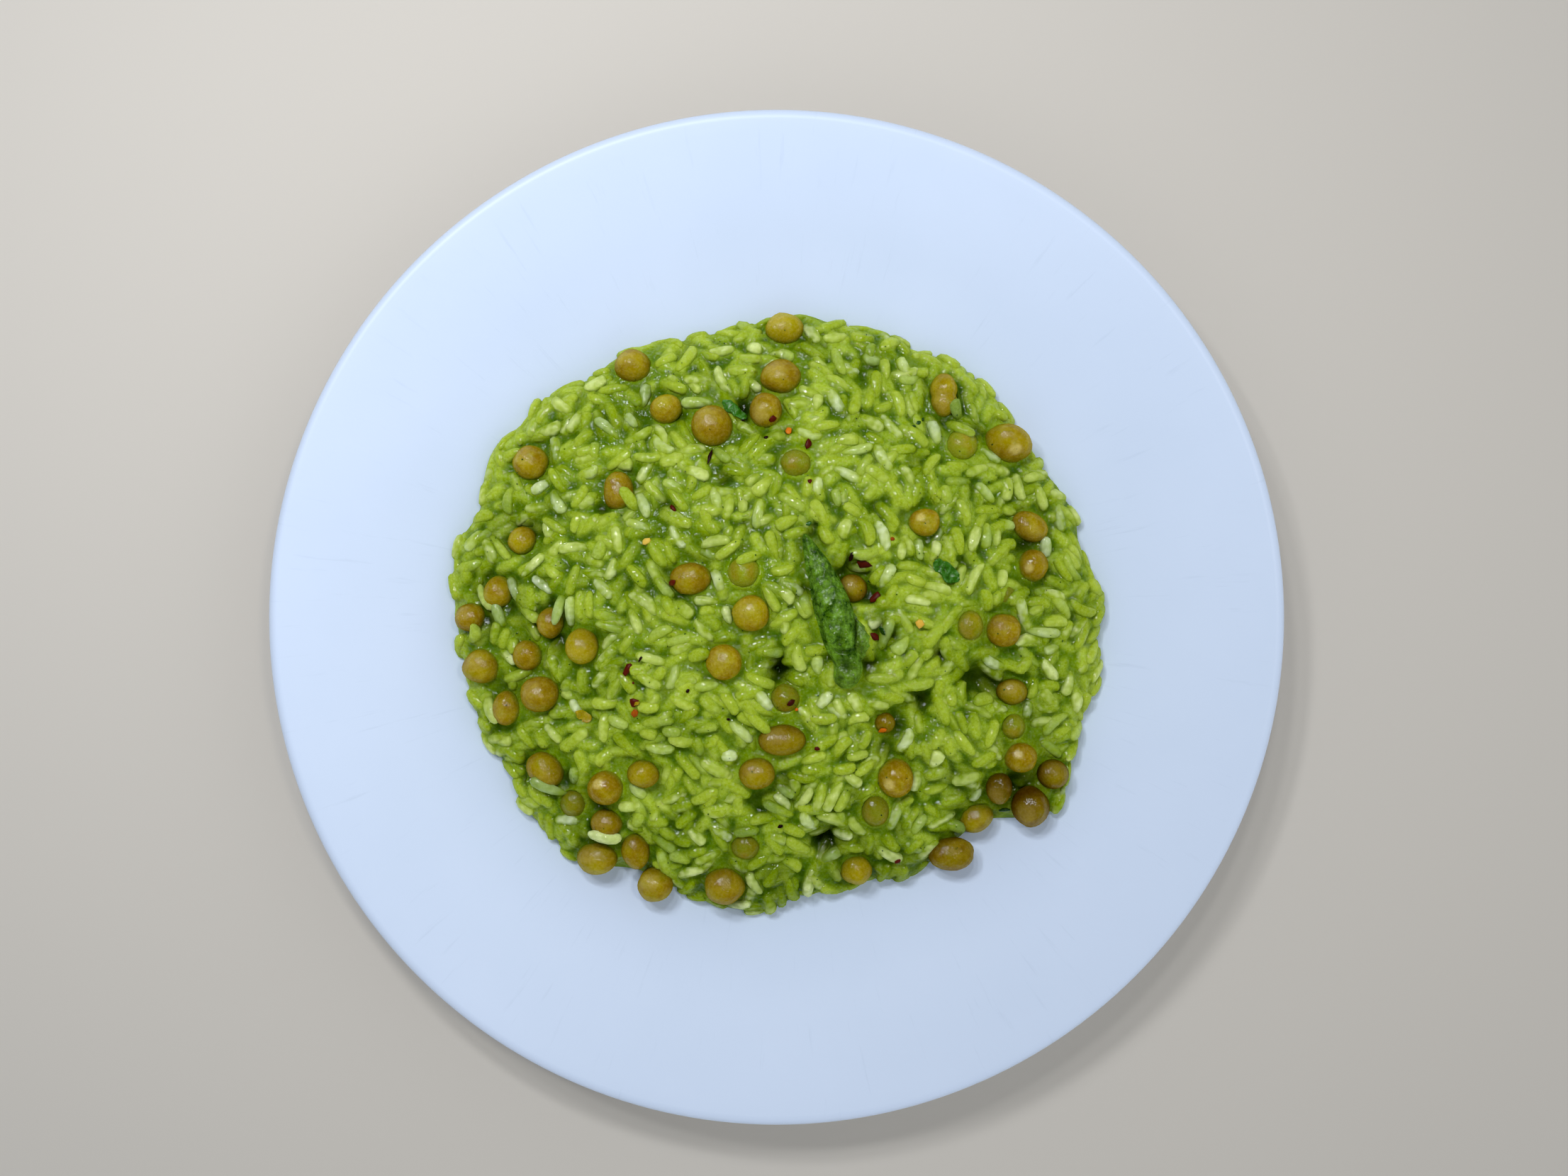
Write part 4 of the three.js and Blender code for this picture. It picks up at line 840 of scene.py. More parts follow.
def makeGrains(name, chosen, material):
    # a grain is an oval section carried along its length: half width (1 - |s|^p)^(1/2) at share s, with a
    # slight taper and bend, tilted and laid on the heap
    picked = {key: numbers[chosen][:, None, None] for key, numbers in grains.items()}
    s = np.array([-1, *rice["stations"], 1])[None, :, None]
    around = ringAngles(rice["sides"])[None, None, :]
    half = np.sqrt(np.clip(1 - np.abs(s) ** rice["roundness"], 0, 1)) * (1 + picked["taper"] * s)
    along = s * picked["length"] / 2 + 0 * around
    bow = picked["bend"] * picked["length"] * (s ** 2 - 0.4)
    across = half * np.cos(around) * picked["width"] / 2 + bow
    rise = half * np.sin(around) * picked["thickness"] / 2
    lift = picked["middle"] + rise + along * np.sin(picked["tilt"])
    turnedU, turnedV = turned(along, across, picked["turn"])
    u, v = picked["u"] + turnedU, picked["v"] + turnedV
    patchy, size, seed = rice["filmPatches"]
    wet = np.clip(1.1 - (lift - readRaster(relief, u, v)) / rice["filmDepth"], 0, 1)
    film = np.clip(wet + patchy * latticeNoise(u, v, size, seed), 0, 1)
    sunk = np.clip(readRaster(hollow, u, v) + readRaster(relief, u, v) - lift, -1.5, 1.5)
    rows, sides = len(rice["stations"]), rice["sides"]

    def arrange(values):
        # rings first, then the two poles
        rings = values[:, 1:-1].reshape(len(values), rows * sides, -1)
        poles = values[:, [0, -1], 0].reshape(len(values), 2, -1)
        return np.concatenate([rings, poles], 1)

    corners = arrange(liftedPoint(u, v, lift)).reshape(-1, 3)
    # painted shade from the heap's field, less painted light on a grain that stands high; how sunk a place
    # is sets more painted shade
    paintedShade = paintedShadeAt(u, v) - rice["highPaintedLight"] * np.clip(lift, -1, 1.5)
    attributes = {"tone": np.repeat(grains["tone"][chosen], rows * sides + 2)}
    for key, values in (("film", film), ("sunk", sunk), ("paintedShade", paintedShade)):
        attributes[key] = arrange(values[..., None]).ravel()
    faces = tubeFaces(len(picked["u"]), rows, sides)
    return makePiece(name, corners, faces, material, attributes)


def makePeas(material):
    # each pea is a ball stretched to its measured sizes, with slow wrinkles in its skin; the two-lobed one
    # is drawn in round its waist
    rings, sides = peaLooks["rings"], peaLooks["sides"]
    lat = np.linspace(0, pi, rings + 2)[1:-1, None]
    around = ringAngles(sides)[None, :]
    flat = np.sin(lat)
    unit = np.stack([flat * np.cos(around), flat * np.sin(around), np.cos(lat) + 0 * around], -1)
    unit = np.concatenate([unit.reshape(-1, 3), [[0, 0, 1], [0, 0, -1]]])
    chance = np.random.default_rng(peaLooks["seed"])
    (waveCount, waveTurns), (dimpleCount, dimpleTurns) = peaLooks["waves"], peaLooks["dimples"]
    waist, waistWidth = peaLooks["waist"]
    filmHeight, filmWobble, wobbleSize = peaLooks["film"]
    lowDark, lowShare = peaLooks["lowDark"]
    corners, tones, pales, coats, paintedShades = [], [], [], [], []
    sunkenX, sunkenY, sunkenSize = peaLooks["sunken"]
    sunkenLift = float(readRaster(relief, np.array(sunkenX), np.array(sunkenY))) + 0.2 - sunkenSize / 2
    sunkenCentre = liftedPoint(np.array(sunkenX), np.array(sunkenY), sunkenLift)
    everyPea = [*peas, (sunkenCentre, np.full(3, sunkenSize), 0)]
    for number, (centre, sizes, turn) in enumerate(everyPea, start=1):
        waves = chance.normal(0, 1, (waveCount, 3)) * waveTurns
        phases = chance.random(waveCount) * 2 * pi
        dimples = chance.normal(0, 1, (dimpleCount, 3)) * dimpleTurns
        fine = np.sin(unit @ dimples.T + 1).mean(1)
        wrinkle = np.sin(unit @ waves.T + phases).mean(1) + peaLooks["dimpleShare"] * fine
        radius = peaLooks["facetGrowth"] - peaLooks["wrinkle"] * (1 + 2 * wrinkle)
        shape = unit * radius[:, None]
        if number in peaLooks["lobed"]:
            shape[:, 1:] *= 1 - waist * np.exp(-(shape[:, :1] / waistWidth) ** 2)
        shape = shape * sizes / 2
        x, y = turned(shape[:, 0], shape[:, 1], turn)
        x, y, z = x + centre[0], y + centre[1], shape[:, 2] + centre[2]
        corners.append(np.stack([x, y, z], -1))
        u, v = unroll(x, y)
        sauceTop = liftedPoint(u, v, readRaster(relief, u, v))[:, 2]
        over = z - sauceTop + filmWobble * latticeNoise(x, y, wobbleSize, number + 140)
        # painted shade on a pea's lower side, in gaps, on the listed shaded peas and near the front edge;
        # painted light on the high ones
        low = smooth(1 - (z - sauceTop) / (lowShare * sizes[2]))
        own = peaLooks["shadedDark"] * (number in peaLooks["shaded"])
        own = own + peaLooks["highDark"] * (number in peaLooks["high"])
        own = own + peaLooks["frontDark"] * (centre[1] < peaLooks["frontY"])
        paintedShade = lowDark * low + peaLooks["gapDark"] * gapPaintedShade(u, v) + own
        paintedShades.append(np.clip(paintedShade, *heap["darkRange"]))
        patches = latticeSum(x, y, [(2.2, 1, number), (0.9, 0.5, number + 70)])
        coated = number in peaLooks["coated"] or number > peaCount
        mean, patchy = peaLooks["coatedFilm" if coated else "plainFilm"]
        coats.append(np.clip(smooth(1 - over / filmHeight) + mean + patchy * patches, 0, 1))
        marked = number in peaLooks["pale"]
        strength, start, width = peaLooks["plainHighlight" if marked else "faintHighlight"]
        if not marked:
            strength = chance.uniform(0, strength)
        pale = strength * smooth((unit @ np.array(peaLooks["paintedHighlightSide"]) - start) / width)
        if number in peaLooks["seamed"]:
            seam, seamWidth = peaLooks["seam"]
            off = unit[:, 0] + 0.25 * unit[:, 1] ** 2 - 0.08
            pale = np.maximum(pale, seam * np.exp(-(off / seamWidth) ** 2) * smooth(unit[:, 2] / 0.4))
        pales.append(pale)
        tones.append(np.full(len(unit), chance.uniform(-peaLooks["toneSpread"], peaLooks["toneSpread"])))
    named = {"tone": tones, "pale": pales, "coat": coats, "paintedShade": paintedShades}
    attributes = {key: np.concatenate(values) for key, values in named.items()}
    faces = tubeFaces(len(everyPea), rings, sides, -1)
    piece = makePiece("peasCooked", np.concatenate(corners), faces, material, attributes)
    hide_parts(*[f"pea_{number + 1:02d}" for number in range(peaCount)])
    return piece


def tipHeight(y):
    # middle of the tip, which slopes with the heap from point to cut end
    (startX, startY, _), (endX, endY, _) = tip["stations"][2], tip["stations"][8]
    start = heapPoint(np.array(startX), np.array(startY))[2]
    end = heapPoint(np.array(endX), np.array(endY))[2]
    return end + (start - end) * (y - endY) / (startY - endY) + heap["sauceSink"] + tip["lift"]


def tipPart(outline, thickShare, ragged):
    # one part of the tip: at each y an oval from the left to the right side of its outline, bumpy, pressed
    # in at the dents, with one bract's edge standing over the next as a small step
    listed = np.array(outline)
    place = np.linspace(0, 1, tip["rows"])
    ends = 0.5 - 0.5 * np.cos(place * pi)
    y = listed[0, 0] + (listed[-1, 0] - listed[0, 0]) * (0.35 * ends + 0.65 * place)
    left, right, lift = (np.interp(-y, -listed[:, 0], listed[:, k]) for k in (1, 2, 3))
    for _ in range(6):
        for line in (left, right, lift):
            line[1:-1] = (line[:-2] + 2 * line[1:-1] + line[2:]) / 4
    angle = ringAngles(tip["sides"])[None, :]
    half = (right - left)[:, None] / 2
    across, up = -np.cos(angle), np.sin(angle)
    x = (left + right)[:, None] / 2 + half * across
    teeth = 0.22 * np.sin(y * 2.3) + 0.08 * np.sin(y * 5.1 + 1)
    x = x + ragged * teeth[:, None] * np.clip(across, 0, 1) ** 6
    row = y[:, None] + 0 * x
    ribs = 0.3 * np.sin((x - 0.45 * row) * 2.6)
    bumps = tip["bumps"] * (latticeSum(x, row, [(1.9, 1, 41), (0.9, 0.5, 42)]) + ribs)
    # the outer bract ends a little in from the left side
    edgeLine = 0.55 + 0.25 * smooth((18 - row) / 14) + 0.05 * np.sin(row)
    step = 0.4 * smooth((across + edgeLine) / 0.08)
    z = (tipHeight(y) + lift)[:, None] + half * thickShare * 2 * up * 0.99
    z = z + np.clip(up, 0, 1) * (bumps + (step - 0.4) * (1 - ragged))
    # painted shade in the dents, and along the crease under the outer bract's edge
    shade = np.zeros_like(x)
    for dentX, dentY, wide, high, depth in tip["dents"]:
        dent = np.exp(-((x - dentX) / wide) ** 2 - ((row - dentY) / high) ** 2) * (up > 0)
        z = z - depth * dent * np.clip(up * 2, 0, 1)
        shade = np.maximum(shade, dent * min(depth, 1))
    crease = np.exp(-((across + edgeLine + 0.05) / 0.07) ** 2) * (up > 0) * (1 - ragged)
    shade = np.maximum(shade, 0.45 * crease)
    pale = smooth((-9 - row) / 6) * 0.6 + ragged * 0.55
    rings = np.stack([x, row, z], -1).reshape(-1, 3)
    poles = [[(left[end] + right[end]) / 2, y[end], z[end].mean()] for end in (0, -1)]
    shades = np.concatenate([shade.ravel(), [0, 0]])
    pales = np.concatenate([pale.ravel(), pale[0, :1], pale[-1, :1]])
    return np.concatenate([rings, poles]), shades, pales


def makeTip(material):
    parts = [tipPart(tip["outline"], tip["bodyShare"], 0), tipPart(tip["bract"], tip["bractShare"], 1)]
    corners, shades, pales = (np.concatenate([part[k] for part in parts]) for k in range(3))
    faces = tubeFaces(len(parts), tip["rows"], tip["sides"], -1)
    piece = makePiece("asparagusTip", corners, faces, material, {"shade": shades, "pale": pales})
    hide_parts("asparagus_tip")
    return piece


# Dry bits on top: x, y, length, width, turn in degrees, thickness, tone
bits = {
    "sides": 7, "seed": 5,
    # level and spread of a bit's rings of corners; how unevenly they are spaced round it, how ragged, how
    # rough and how curled it is
    "rings": [(-1, 0.8), (0, 1), (1, 0.84)], "turnSpread": 0.25, "ragged": (0.72, 1.12), "roughness": 0.06,
    "curl": (-0.05, 0.12),
    # blur of the top on which a bit rests, and a scrap; how far a bit gives way to it; how high its middle
    # lies, as a share of its thickness
    "restBlur": 0.8, "scrapBlur": 0.9, "drape": 0.3, "bitLift": 0.35,
    # tone: 0 nearly black, 0.33 dark red, 0.66 orange, 1 pale seed
    "chilli": [
        (-0.9, 52.5, 2.5, 1.8, 30, 0.5, 0.33), (8.3, 45.8, 3.2, 2.2, 80, 0.5, 0.3),
        (8.7, 35.5, 1.6, 1.3, 0, 0.4, 0.3), (-27, 28.5, 2.7, 1.2, -50, 0.4, 0.3),
        (-27.2, 9.1, 2.4, 1.9, 10, 0.5, 0.35), (23, 13.9, 4.2, 2.3, -8, 0.5, 0.27),
        (26, 5.4, 3.6, 2.8, 30, 0.6, 0.32), (25.5, -5, 3, 2.1, -30, 0.5, 0.3),
        (30.2, 20.6, 1.5, 1.3, 0, 0.4, 0.45), (-39, -13.5, 4.1, 2.3, 65, 0.6, 0.33),
        (-37.3, -22.2, 3.2, 2.8, 80, 0.6, 0.33), (-37.2, -25, 2.4, 2.2, 60, 0.5, 0.5),
        (3.9, -22.2, 2.5, 2, 40, 0.5, 0.25), (10.6, -34.2, 1.7, 1.3, 0, 0.4, 0.28),
        (32.5, -65.3, 2, 1.2, 20, 0.5, 0.33), (-9, 52.5, 1.1, 0.8, 0, 0.3, 0.05),
        (-2.8, 47.4, 1.4, 1, 30, 0.3, 0.1), (-17.6, 42.2, 4.5, 1.1, 75, 0.4, 0.14),
        (19.5, 16.2, 3.4, 1.2, 72, 0.5, 0.08), (-35.5, -10.9, 2.4, 0.8, 60, 0.3, 0.1),
        (-23.1, -19.1, 1.7, 1, 50, 0.3, 0.12), (-12.6, -26.5, 1.1, 0.8, 0, 0.3, 0.1),
        (0.8, -55.3, 1.6, 1, 20, 0.3, 0.08), (3.2, 49.5, 2.3, 1.8, 80, 0.5, 0.7),
        (5.3, -24.1, 1.2, 0.9, 0, 0.4, 0.66), (28, -29.8, 2.4, 1.5, 20, 0.5, 0.62),
        (-34, 20, 3, 2.1, 10, 0.8, 1), (37.4, -1.6, 2.7, 2.5, 0, 0.8, 0.93),
        (-37.6, -17.2, 1.2, 0.8, 40, 0.3, 0.33),
    ],
    # tone: 0 dark, 1 bright
    "herbs": [
        (8.5, 24.6, 1.8, 1.2, 20, 0.4, 0.5), (38, 52, 1.6, 1.1, 40, 0.4, 0.2),
        (36.6, 50.8, 1.1, 0.8, 0, 0.3, 0.1), (39.3, 53.1, 1.2, 0.7, 80, 0.3, 0.15),
        # the long dark scrap at 62, -53.4 lies where the shade under two peas falls: a painted shadow
        (62, -53.4, 4, 1, 10, 0.5, 0.1), (24.5, 9.5, 1.1, 0.8, 0, 0.3, 0.1),
    ],
    # crinkled scraps of leaf: x, y, length, width, degrees, tone
    "leaves": [
        (-11.3, 55.3, 8, 2.8, -35, 0.9), (44.6, 12.2, 8.6, 4.2, -38, 0.75), (27.4, -3.4, 2.6, 1, -60, 0.1),
    ],
    "leafThickness": 0.5, "leafLift": 0.55, "leafRows": 18, "leafSides": 16,
    "crinkles": [(1.5, 0.5, 92), (0.7, 0.25, 93)],
    # torn scraps of pea skin: x, y, length, width, degrees, tone
    "skins": [
        (-51.3, -26.3, 4.6, 2.6, -35, -0.4), (67.6, 50.3, 3.4, 1.6, -62, 0.2), (-36.5, -22.5, 2, 1, 20, 0.6),
    ],
    # specks of dried herb: how many, how far out, size, thickness, seed
    "specks": 300, "speckReach": 80, "speckSize": (0.25, 0.55), "speckThickness": 0.15, "speckSeed": 77,
}


def layBits(name, listed, material, facets):
    # a bit is a ragged ring of corners at three heights, the middle one widest, with a pole above and
    # below, laid on whatever is highest under its middle
    chance = np.random.default_rng(bits["seed"] + len(listed))
    sides = bits["sides"]
    table = np.array(listed)[:, :, None, None]
    x, y, length, width, degrees, thickness, tone = (table[:, k] for k in range(7))
    count = len(listed)
    turnSpread, roughness = bits["turnSpread"], bits["roughness"]
    around = ringAngles(sides)[None, None, :] + chance.uniform(-turnSpread, turnSpread, (count, 1, sides))
    ragged = chance.uniform(*bits["ragged"], (count, 1, sides))
    level, spread = np.array(bits["rings"]).T[:, None, :, None]
    along = ragged * spread * np.cos(around) * length / 2
    across = ragged * spread * np.sin(around) * width / 2
    curl = chance.uniform(*bits["curl"], (count, 1, 1))
    rise = level * thickness / 2 + curl * along ** 2
    rise = rise + chance.uniform(-roughness, roughness, rise.shape)
    turn = np.radians(degrees)
    u0, v0 = unroll(x, y)
    rest = blurred(topRelief, bits["restBlur"])
    turnedU, turnedV = turned(along, across, turn)
    u, v = u0 + turnedU, v0 + turnedV
    highest = np.maximum(readRaster(rest, u0, v0), readRaster(topRelief, u0, v0))
    base = highest * (1 - bits["drape"]) + bits["drape"] * readRaster(rest, u, v)
    rings = liftedPoint(u, v, base + rise + bits["bitLift"] * thickness)
    poleLift = base.mean((1, 2))[:, None] + (bits["bitLift"] + np.array([[-0.5, 0.5]])) * thickness[:, 0]
    poles = liftedPoint(np.repeat(u0[:, 0], 2, 1), np.repeat(v0[:, 0], 2, 1), poleLift)
    corners = np.concatenate([rings.reshape(count, -1, 3), poles], 1)
    for i in np.flatnonzero(roomToPeas(u0.ravel(), v0.ravel()) < 0):
        # over a pea the bit lies on the pea's own curve
        k = int(np.argmin(np.hypot(peaU - u0.ravel()[i], peaV - v0.ravel()[i])))
        overX, overY = (corners[i, :, :2] - peaCentre[k, :2]).T
        overX, overY = turned(overX, overY, -peaTurn[k])
        share = (2 * overX / peaLength[k]) ** 2 + (2 * overY / peaWidth[k]) ** 2
        ball = peaCentre[k, 2] + peaHeight[k] / 2 * np.sqrt(np.clip(1 - share, 0.05, 1))
        part = np.concatenate([rise[i].ravel(), [-thickness[i, 0, 0] / 2, thickness[i, 0, 0] / 2]])
        corners[i, :, 2] = ball + part + 0.1
    tones = np.repeat(tone.ravel(), 3 * sides + 2)
    faces = tubeFaces(count, 3, sides)
    return makePiece(name, corners.reshape(-1, 3), faces, material, {"tone": tones}, facets)


def layScraps(name, listed, material):
    # a scrap is a thin oval section carried along its length, its outline ragged and its surface
    # crinkled, laid on the sauce
    x, y, length, width, degrees, tone = np.array(listed, float).T[:, :, None, None]
    rows, sides = bits["leafRows"], bits["leafSides"]
    s = np.linspace(-0.98, 0.98, rows)[None, :, None]
    around = ringAngles(sides)[None, None, :]
    seed = np.arange(len(listed))[:, None, None] * 7.3
    ragged = 1 + 0.2 * latticeNoise(s * 4 + seed, np.sign(np.cos(around)) * 3 + 0 * s, 1, 91)
    half = np.sqrt(1 - np.abs(s) ** 3) * ragged * width / 2
    along, across = s * length / 2 + 0 * around, half * np.cos(around)
    turn = np.radians(degrees)
    u0, v0 = unroll(x, y)
    turnedU, turnedV = turned(along, across, turn)
    u, v = u0 + turnedU, v0 + turnedV
    rest = blurred(topRelief, bits["scrapBlur"])
    lift = readRaster(rest, u, v) + bits["leafLift"] + latticeSum(u, v, bits["crinkles"])
    lift = lift + np.sin(around) * bits["leafThickness"] / 2
    rings = liftedPoint(u, v, lift).reshape(len(listed), rows * sides, 3)
    poles = rings.reshape(len(listed), rows, sides, 3)[:, [0, -1]].mean(2)
    corners = np.concatenate([rings, poles], 1)
    attributes = {"tone": np.repeat(tone.ravel(), rows * sides + 2)}
    faces = tubeFaces(len(listed), rows, sides)
    return makePiece(name, corners.reshape(-1, 3), faces, material, attributes)


def throwSpecks():
    # tiny crumbs of dried herb anywhere on the heap
    chance = np.random.default_rng(bits["speckSeed"])
    count = bits["specks"]
    reach, angle = np.sqrt(chance.random(count)) * bits["speckReach"], chance.random(count) * 2 * pi
    length = chance.uniform(*bits["speckSize"], count)
    columns = [
        reach * np.cos(angle), reach * np.sin(angle), length, length * chance.uniform(0.5, 0.9, count),
        chance.uniform(0, 180, count), np.full(count, bits["speckThickness"]), chance.uniform(0, 0.4, count),
    ]
    return np.stack(columns, -1).tolist()


def newMaterial(name):
    material = bpy.data.materials.new(name)
    material.use_nodes = True
    tree = material.node_tree
    tree.nodes.clear()
    return material, tree, addNode(tree, "ShaderNodeTexCoord").outputs["Object"]


def attribute(tree, name):
    # a number stored at each corner of the mesh
    return addNode(tree, "ShaderNodeAttribute", attribute_name=name).outputs["Fac"]


def noise(tree, place, scale, detail, roughness=0.5):
    # scale is lumps to the metre
    inputs = {"Vector": place, "Scale": scale, "Detail": detail, "Roughness": roughness}
    return addNode(tree, "ShaderNodeTexNoise", inputs).outputs["Fac"]


def ranged(tree, value, low, high, least=0, most=1):
    # the value's range from low to high laid on least to most, and held within it
    inputs = {"Value": value, "From Min": low, "From Max": high, "To Min": least, "To Max": most}
    return addNode(tree, "ShaderNodeMapRange", inputs).outputs["Result"]


def mixed(tree, share, first, second, blend="MIX"):
    inputs = {"Factor": share, "A": first, "B": second}
    return addNode(tree, "ShaderNodeMix", inputs, data_type="RGBA", blend_type=blend).outputs["Result"]


def reckoned(tree, operation, first, second, clamped=False):
    inputs = {0: first, 1: second}
    return addNode(tree, "ShaderNodeMath", inputs, operation=operation, use_clamp=clamped).outputs["Value"]


def ramped(tree, value, stops):
    # stops are position and colour, the first at 0 and the last at 1
    ramp = addNode(tree, "ShaderNodeValToRGB", {"Fac": value})
    elements = ramp.color_ramp.elements
    elements[0].color, elements[1].color = linear(stops[0][1]), linear(stops[-1][1])
    for position, hexColor in stops[1:-1]:
        elements.new(position).color = linear(hexColor)
    return ramp.outputs["Color"]


def bumped(tree, height, strength, distance, **under):
    # distance in millimetres; under may name the normal that the bump lies on
    inputs = {"Height": height, "Strength": strength, "Distance": distance * mm, **under}
    return addNode(tree, "ShaderNodeBump", inputs).outputs["Normal"]


def finish(tree, look):
    shader = addNode(tree, "ShaderNodeBsdfPrincipled", look)
    addNode(tree, "ShaderNodeOutputMaterial", {"Surface": shader.outputs["BSDF"]})


def finishWet(tree, colour, wetness, normals, body, coat, scatter, gloss=0):
    # moist food, which lets some light in, under a wet skin. normals: of the body and of the skin; body and
    # coat: roughness and IOR; scatter: how much light goes in, and how far red, green and blue get in mm
    finish(tree, {
        "Base Color": colour, "Roughness": body[0], "IOR": body[1], "Specular IOR Level": gloss,
        "Subsurface Weight": scatter[0], "Subsurface Scale": mm, "Subsurface Radius": scatter[1:],
        "Coat Weight": wetness, "Coat Roughness": coat[0], "Coat IOR": coat[1],
        "Normal": normals[0], "Coat Normal": normals[1],
    })


def shaded(tree, colour, paintedShadeHex="#6a7414"):
    # painted shade and painted light: the colour taken down towards a shade colour, or up a little, by the
    #     # painted shade stored in the mesh
    paintedShade = attribute(tree, "paintedShade")
    paintedShadeColour = mixed(tree, ranged(tree, paintedShade, 0, 1), colour, paintedShadeHex, "MULTIPLY")
    return mixed(tree, ranged(tree, paintedShade, 0, -0.4, 0, 0.35), paintedShadeColour, "#c9db48")


def pulpy(tree, place, colour, lumps, spread):
    # fine lumps of pulp and starch, brighter and paler or dimmer than what lies round them
    lump = noise(tree, place, lumps, 2, 0.7)
    return addNode(tree, "ShaderNodeHueSaturation", {
        "Color": colour,
        "Value": ranged(tree, lump, 0.3, 0.7, 1 - spread, 1 + spread),
        "Saturation": ranged(tree, lump, 0.3, 0.7, 1 + 0.4 * spread, 1 - 0.5 * spread),
    }).outputs["Color"]


def drained(tree, most):
    # how much wet skin there is: most on level places, little on upright sides, from which it drains
    normal = addNode(tree, "ShaderNodeNewGeometry").outputs["Normal"]
    level = addNode(tree, "ShaderNodeSeparateXYZ", {"Vector": normal}).outputs["Z"]
    return ranged(tree, level, 0.35, 0.85, 0.1, most)


def pooled(tree, place, wetness):
    # wet skin gathered in pools about 3 mm across
    return reckoned(tree, "MULTIPLY", wetness, ranged(tree, noise(tree, place, 320, 1), 0.42, 0.58, 0.35, 1))


def satinGlaze():
    # white glazed stoneware, fired to a satin: bright, with a wide soft sheen; cutlery has left
    # faint grey strokes that run outwards, and thumbs a few smudges
    material, tree, place = newMaterial("whiteSatinGlaze")
    plain = mixed(tree, noise(tree, place, 28, 3), "#cddbef", "#d4e1f5")
    parts = addNode(tree, "ShaderNodeSeparateXYZ", {"Vector": place}).outputs
    angle = reckoned(tree, "ARCTAN2", parts["Y"], parts["X"])
    radius = addNode(tree, "ShaderNodeVectorMath", {0: place}, operation="LENGTH").outputs["Value"]
    # strokes about 1.5 mm wide and 25 mm long where the radius is 110 mm
    polar = addNode(tree, "ShaderNodeCombineXYZ", {
        "X": reckoned(tree, "MULTIPLY", angle, 60), "Y": reckoned(tree, "MULTIPLY", radius, 45),
    }).outputs["Vector"]
    strokes = ranged(tree, noise(tree, polar, 1, 3, 0.6), 0.62, 0.8, 0, 0.2)
    finish(tree, {
        "Base Color": mixed(tree, strokes, plain, "#9fb0c6"), "Roughness": 0.42, "IOR": 1.5,
        "Normal": bumped(tree, noise(tree, place, 260, 2), 0.12, 0.3),
    })
    return material


def sauceFinish():
    # peas and stock blended smooth and cooked down: wet, slightly translucent, with painted shade in its
    #     # hollows, and sparkling where it has frothed
    material, tree, place = newMaterial("blendedPeaSauce")
    # painted shade: the deeper a place lies under the blurred top, the darker the green
    depth = ranged(tree, attribute(tree, "hollow"), -0.5, 1.7)
    paintedShadeColour = ramped(tree, depth, [(0, "#8fa51e"), (0.3, "#6f8c0a"), (0.6, "#456802"), (1, "#152e00")])
    cloud = ranged(tree, noise(tree, place, 420, 4, 0.6), 0.4, 0.7, 0, 0.2)
    overGrains = reckoned(tree, "MULTIPLY", attribute(tree, "cover"), 0.85)
    colour = mixed(tree, overGrains, mixed(tree, cloud, paintedShadeColour, "#97ad1c"), "#aabf3c")
    # wet skin in lumps about 1.5 mm across, with bubbles of 0.8 mm where it has frothed
    soft = noise(tree, place, 680, 1)
    froth = ranged(tree, attribute(tree, "froth"), 0, 1, 0.12, 0.7)
    bubbles = bumped(tree, noise(tree, place, 1250, 0), froth, 0.5)
    finishWet(
        tree, pulpy(tree, place, shaded(tree, colour), 1300, 0.15), pooled(tree, place, drained(tree, 1)),
        (bumped(tree, soft, 0.3, 1), bumped(tree, soft, 0.75, 1, Normal=bubbles)),
        (0.45, 1.38), (0.05, 1.43), (0.07, 0.8, 1.2, 0.1),
    )
    return material


def riceFinish(name, dullHex, middleHex, milkyHex, filmHex):
    # boiled rice, soft starch that lets some light in: milky at the middle, greener where sauce clings, with
    #     # painted shade where it lies low
    material, tree, place = newMaterial(name)
    share = ranged(tree, attribute(tree, "tone"), -1, 1)
    body = ramped(tree, share, [(0, dullHex), (0.5, middleHex), (1, milkyHex)])
    streaks = ranged(tree, noise(tree, place, 700, 3), 0.35, 0.7, -0.25, 0.5)
    film = reckoned(tree, "ADD", attribute(tree, "film"), streaks, True)
    # painted shade: parts that lie low between others go dark green
    low = ranged(tree, attribute(tree, "sunk"), -0.6, 1.2, 0, 0.6)
    colour = mixed(tree, low, mixed(tree, film, body, filmHex), "#5f7c00")
    # beads of sauce about 1.3 mm apart
    beads = noise(tree, place, 780, 1)
    finishWet(
        tree, pulpy(tree, place, shaded(tree, colour), 1400, 0.14), pooled(tree, place, drained(tree, 1)),
        (bumped(tree, beads, 0.25, 0.6), bumped(tree, beads, 0.6, 0.6)),
        (0.45, 1.42), (0.06, 1.43), (0.25, 1, 1.2, 0.3),
    )
    return material


def peaFinish():
    # tinned peas, olive brown: a thin moist skin, finely mottled, paler on the side turned up to the window
    #     # panes, a painted highlight, and along a torn seam
    material, tree, place = newMaterial("cookedPeaSkin")
    share = ranged(tree, attribute(tree, "tone"), -1, 1)
    drift = ranged(tree, noise(tree, place, 210, 1), 0.3, 0.7, -0.45, 0.45)
    body = mixed(tree, reckoned(tree, "ADD", share, drift, True), "#a99a0c", "#8f7300")
    spots = ranged(tree, noise(tree, place, 600, 4, 0.65), 0.42, 0.7, 0, 0.5)
    light = mixed(tree, attribute(tree, "pale"), mixed(tree, spots, body, "#b9a42c"), "#ccb862")
    colour = mixed(tree, attribute(tree, "coat"), light, "#90991c")
    # pores and creases about 0.9 mm apart
    skin = bumped(tree, noise(tree, place, 1150, 2, 0.6), 0.4, 0.6)
    # painted shade from the mesh, towards a warm brown, and painted light
    finishWet(
        tree, pulpy(tree, place, shaded(tree, colour, "#7d6612"), 1400, 0.1), drained(tree, 0.8),
        (skin, skin),
        (0.45, 1.42), (0.07, 1.44), (0.22, 1.2, 0.9, 0.1),
    )
    return material


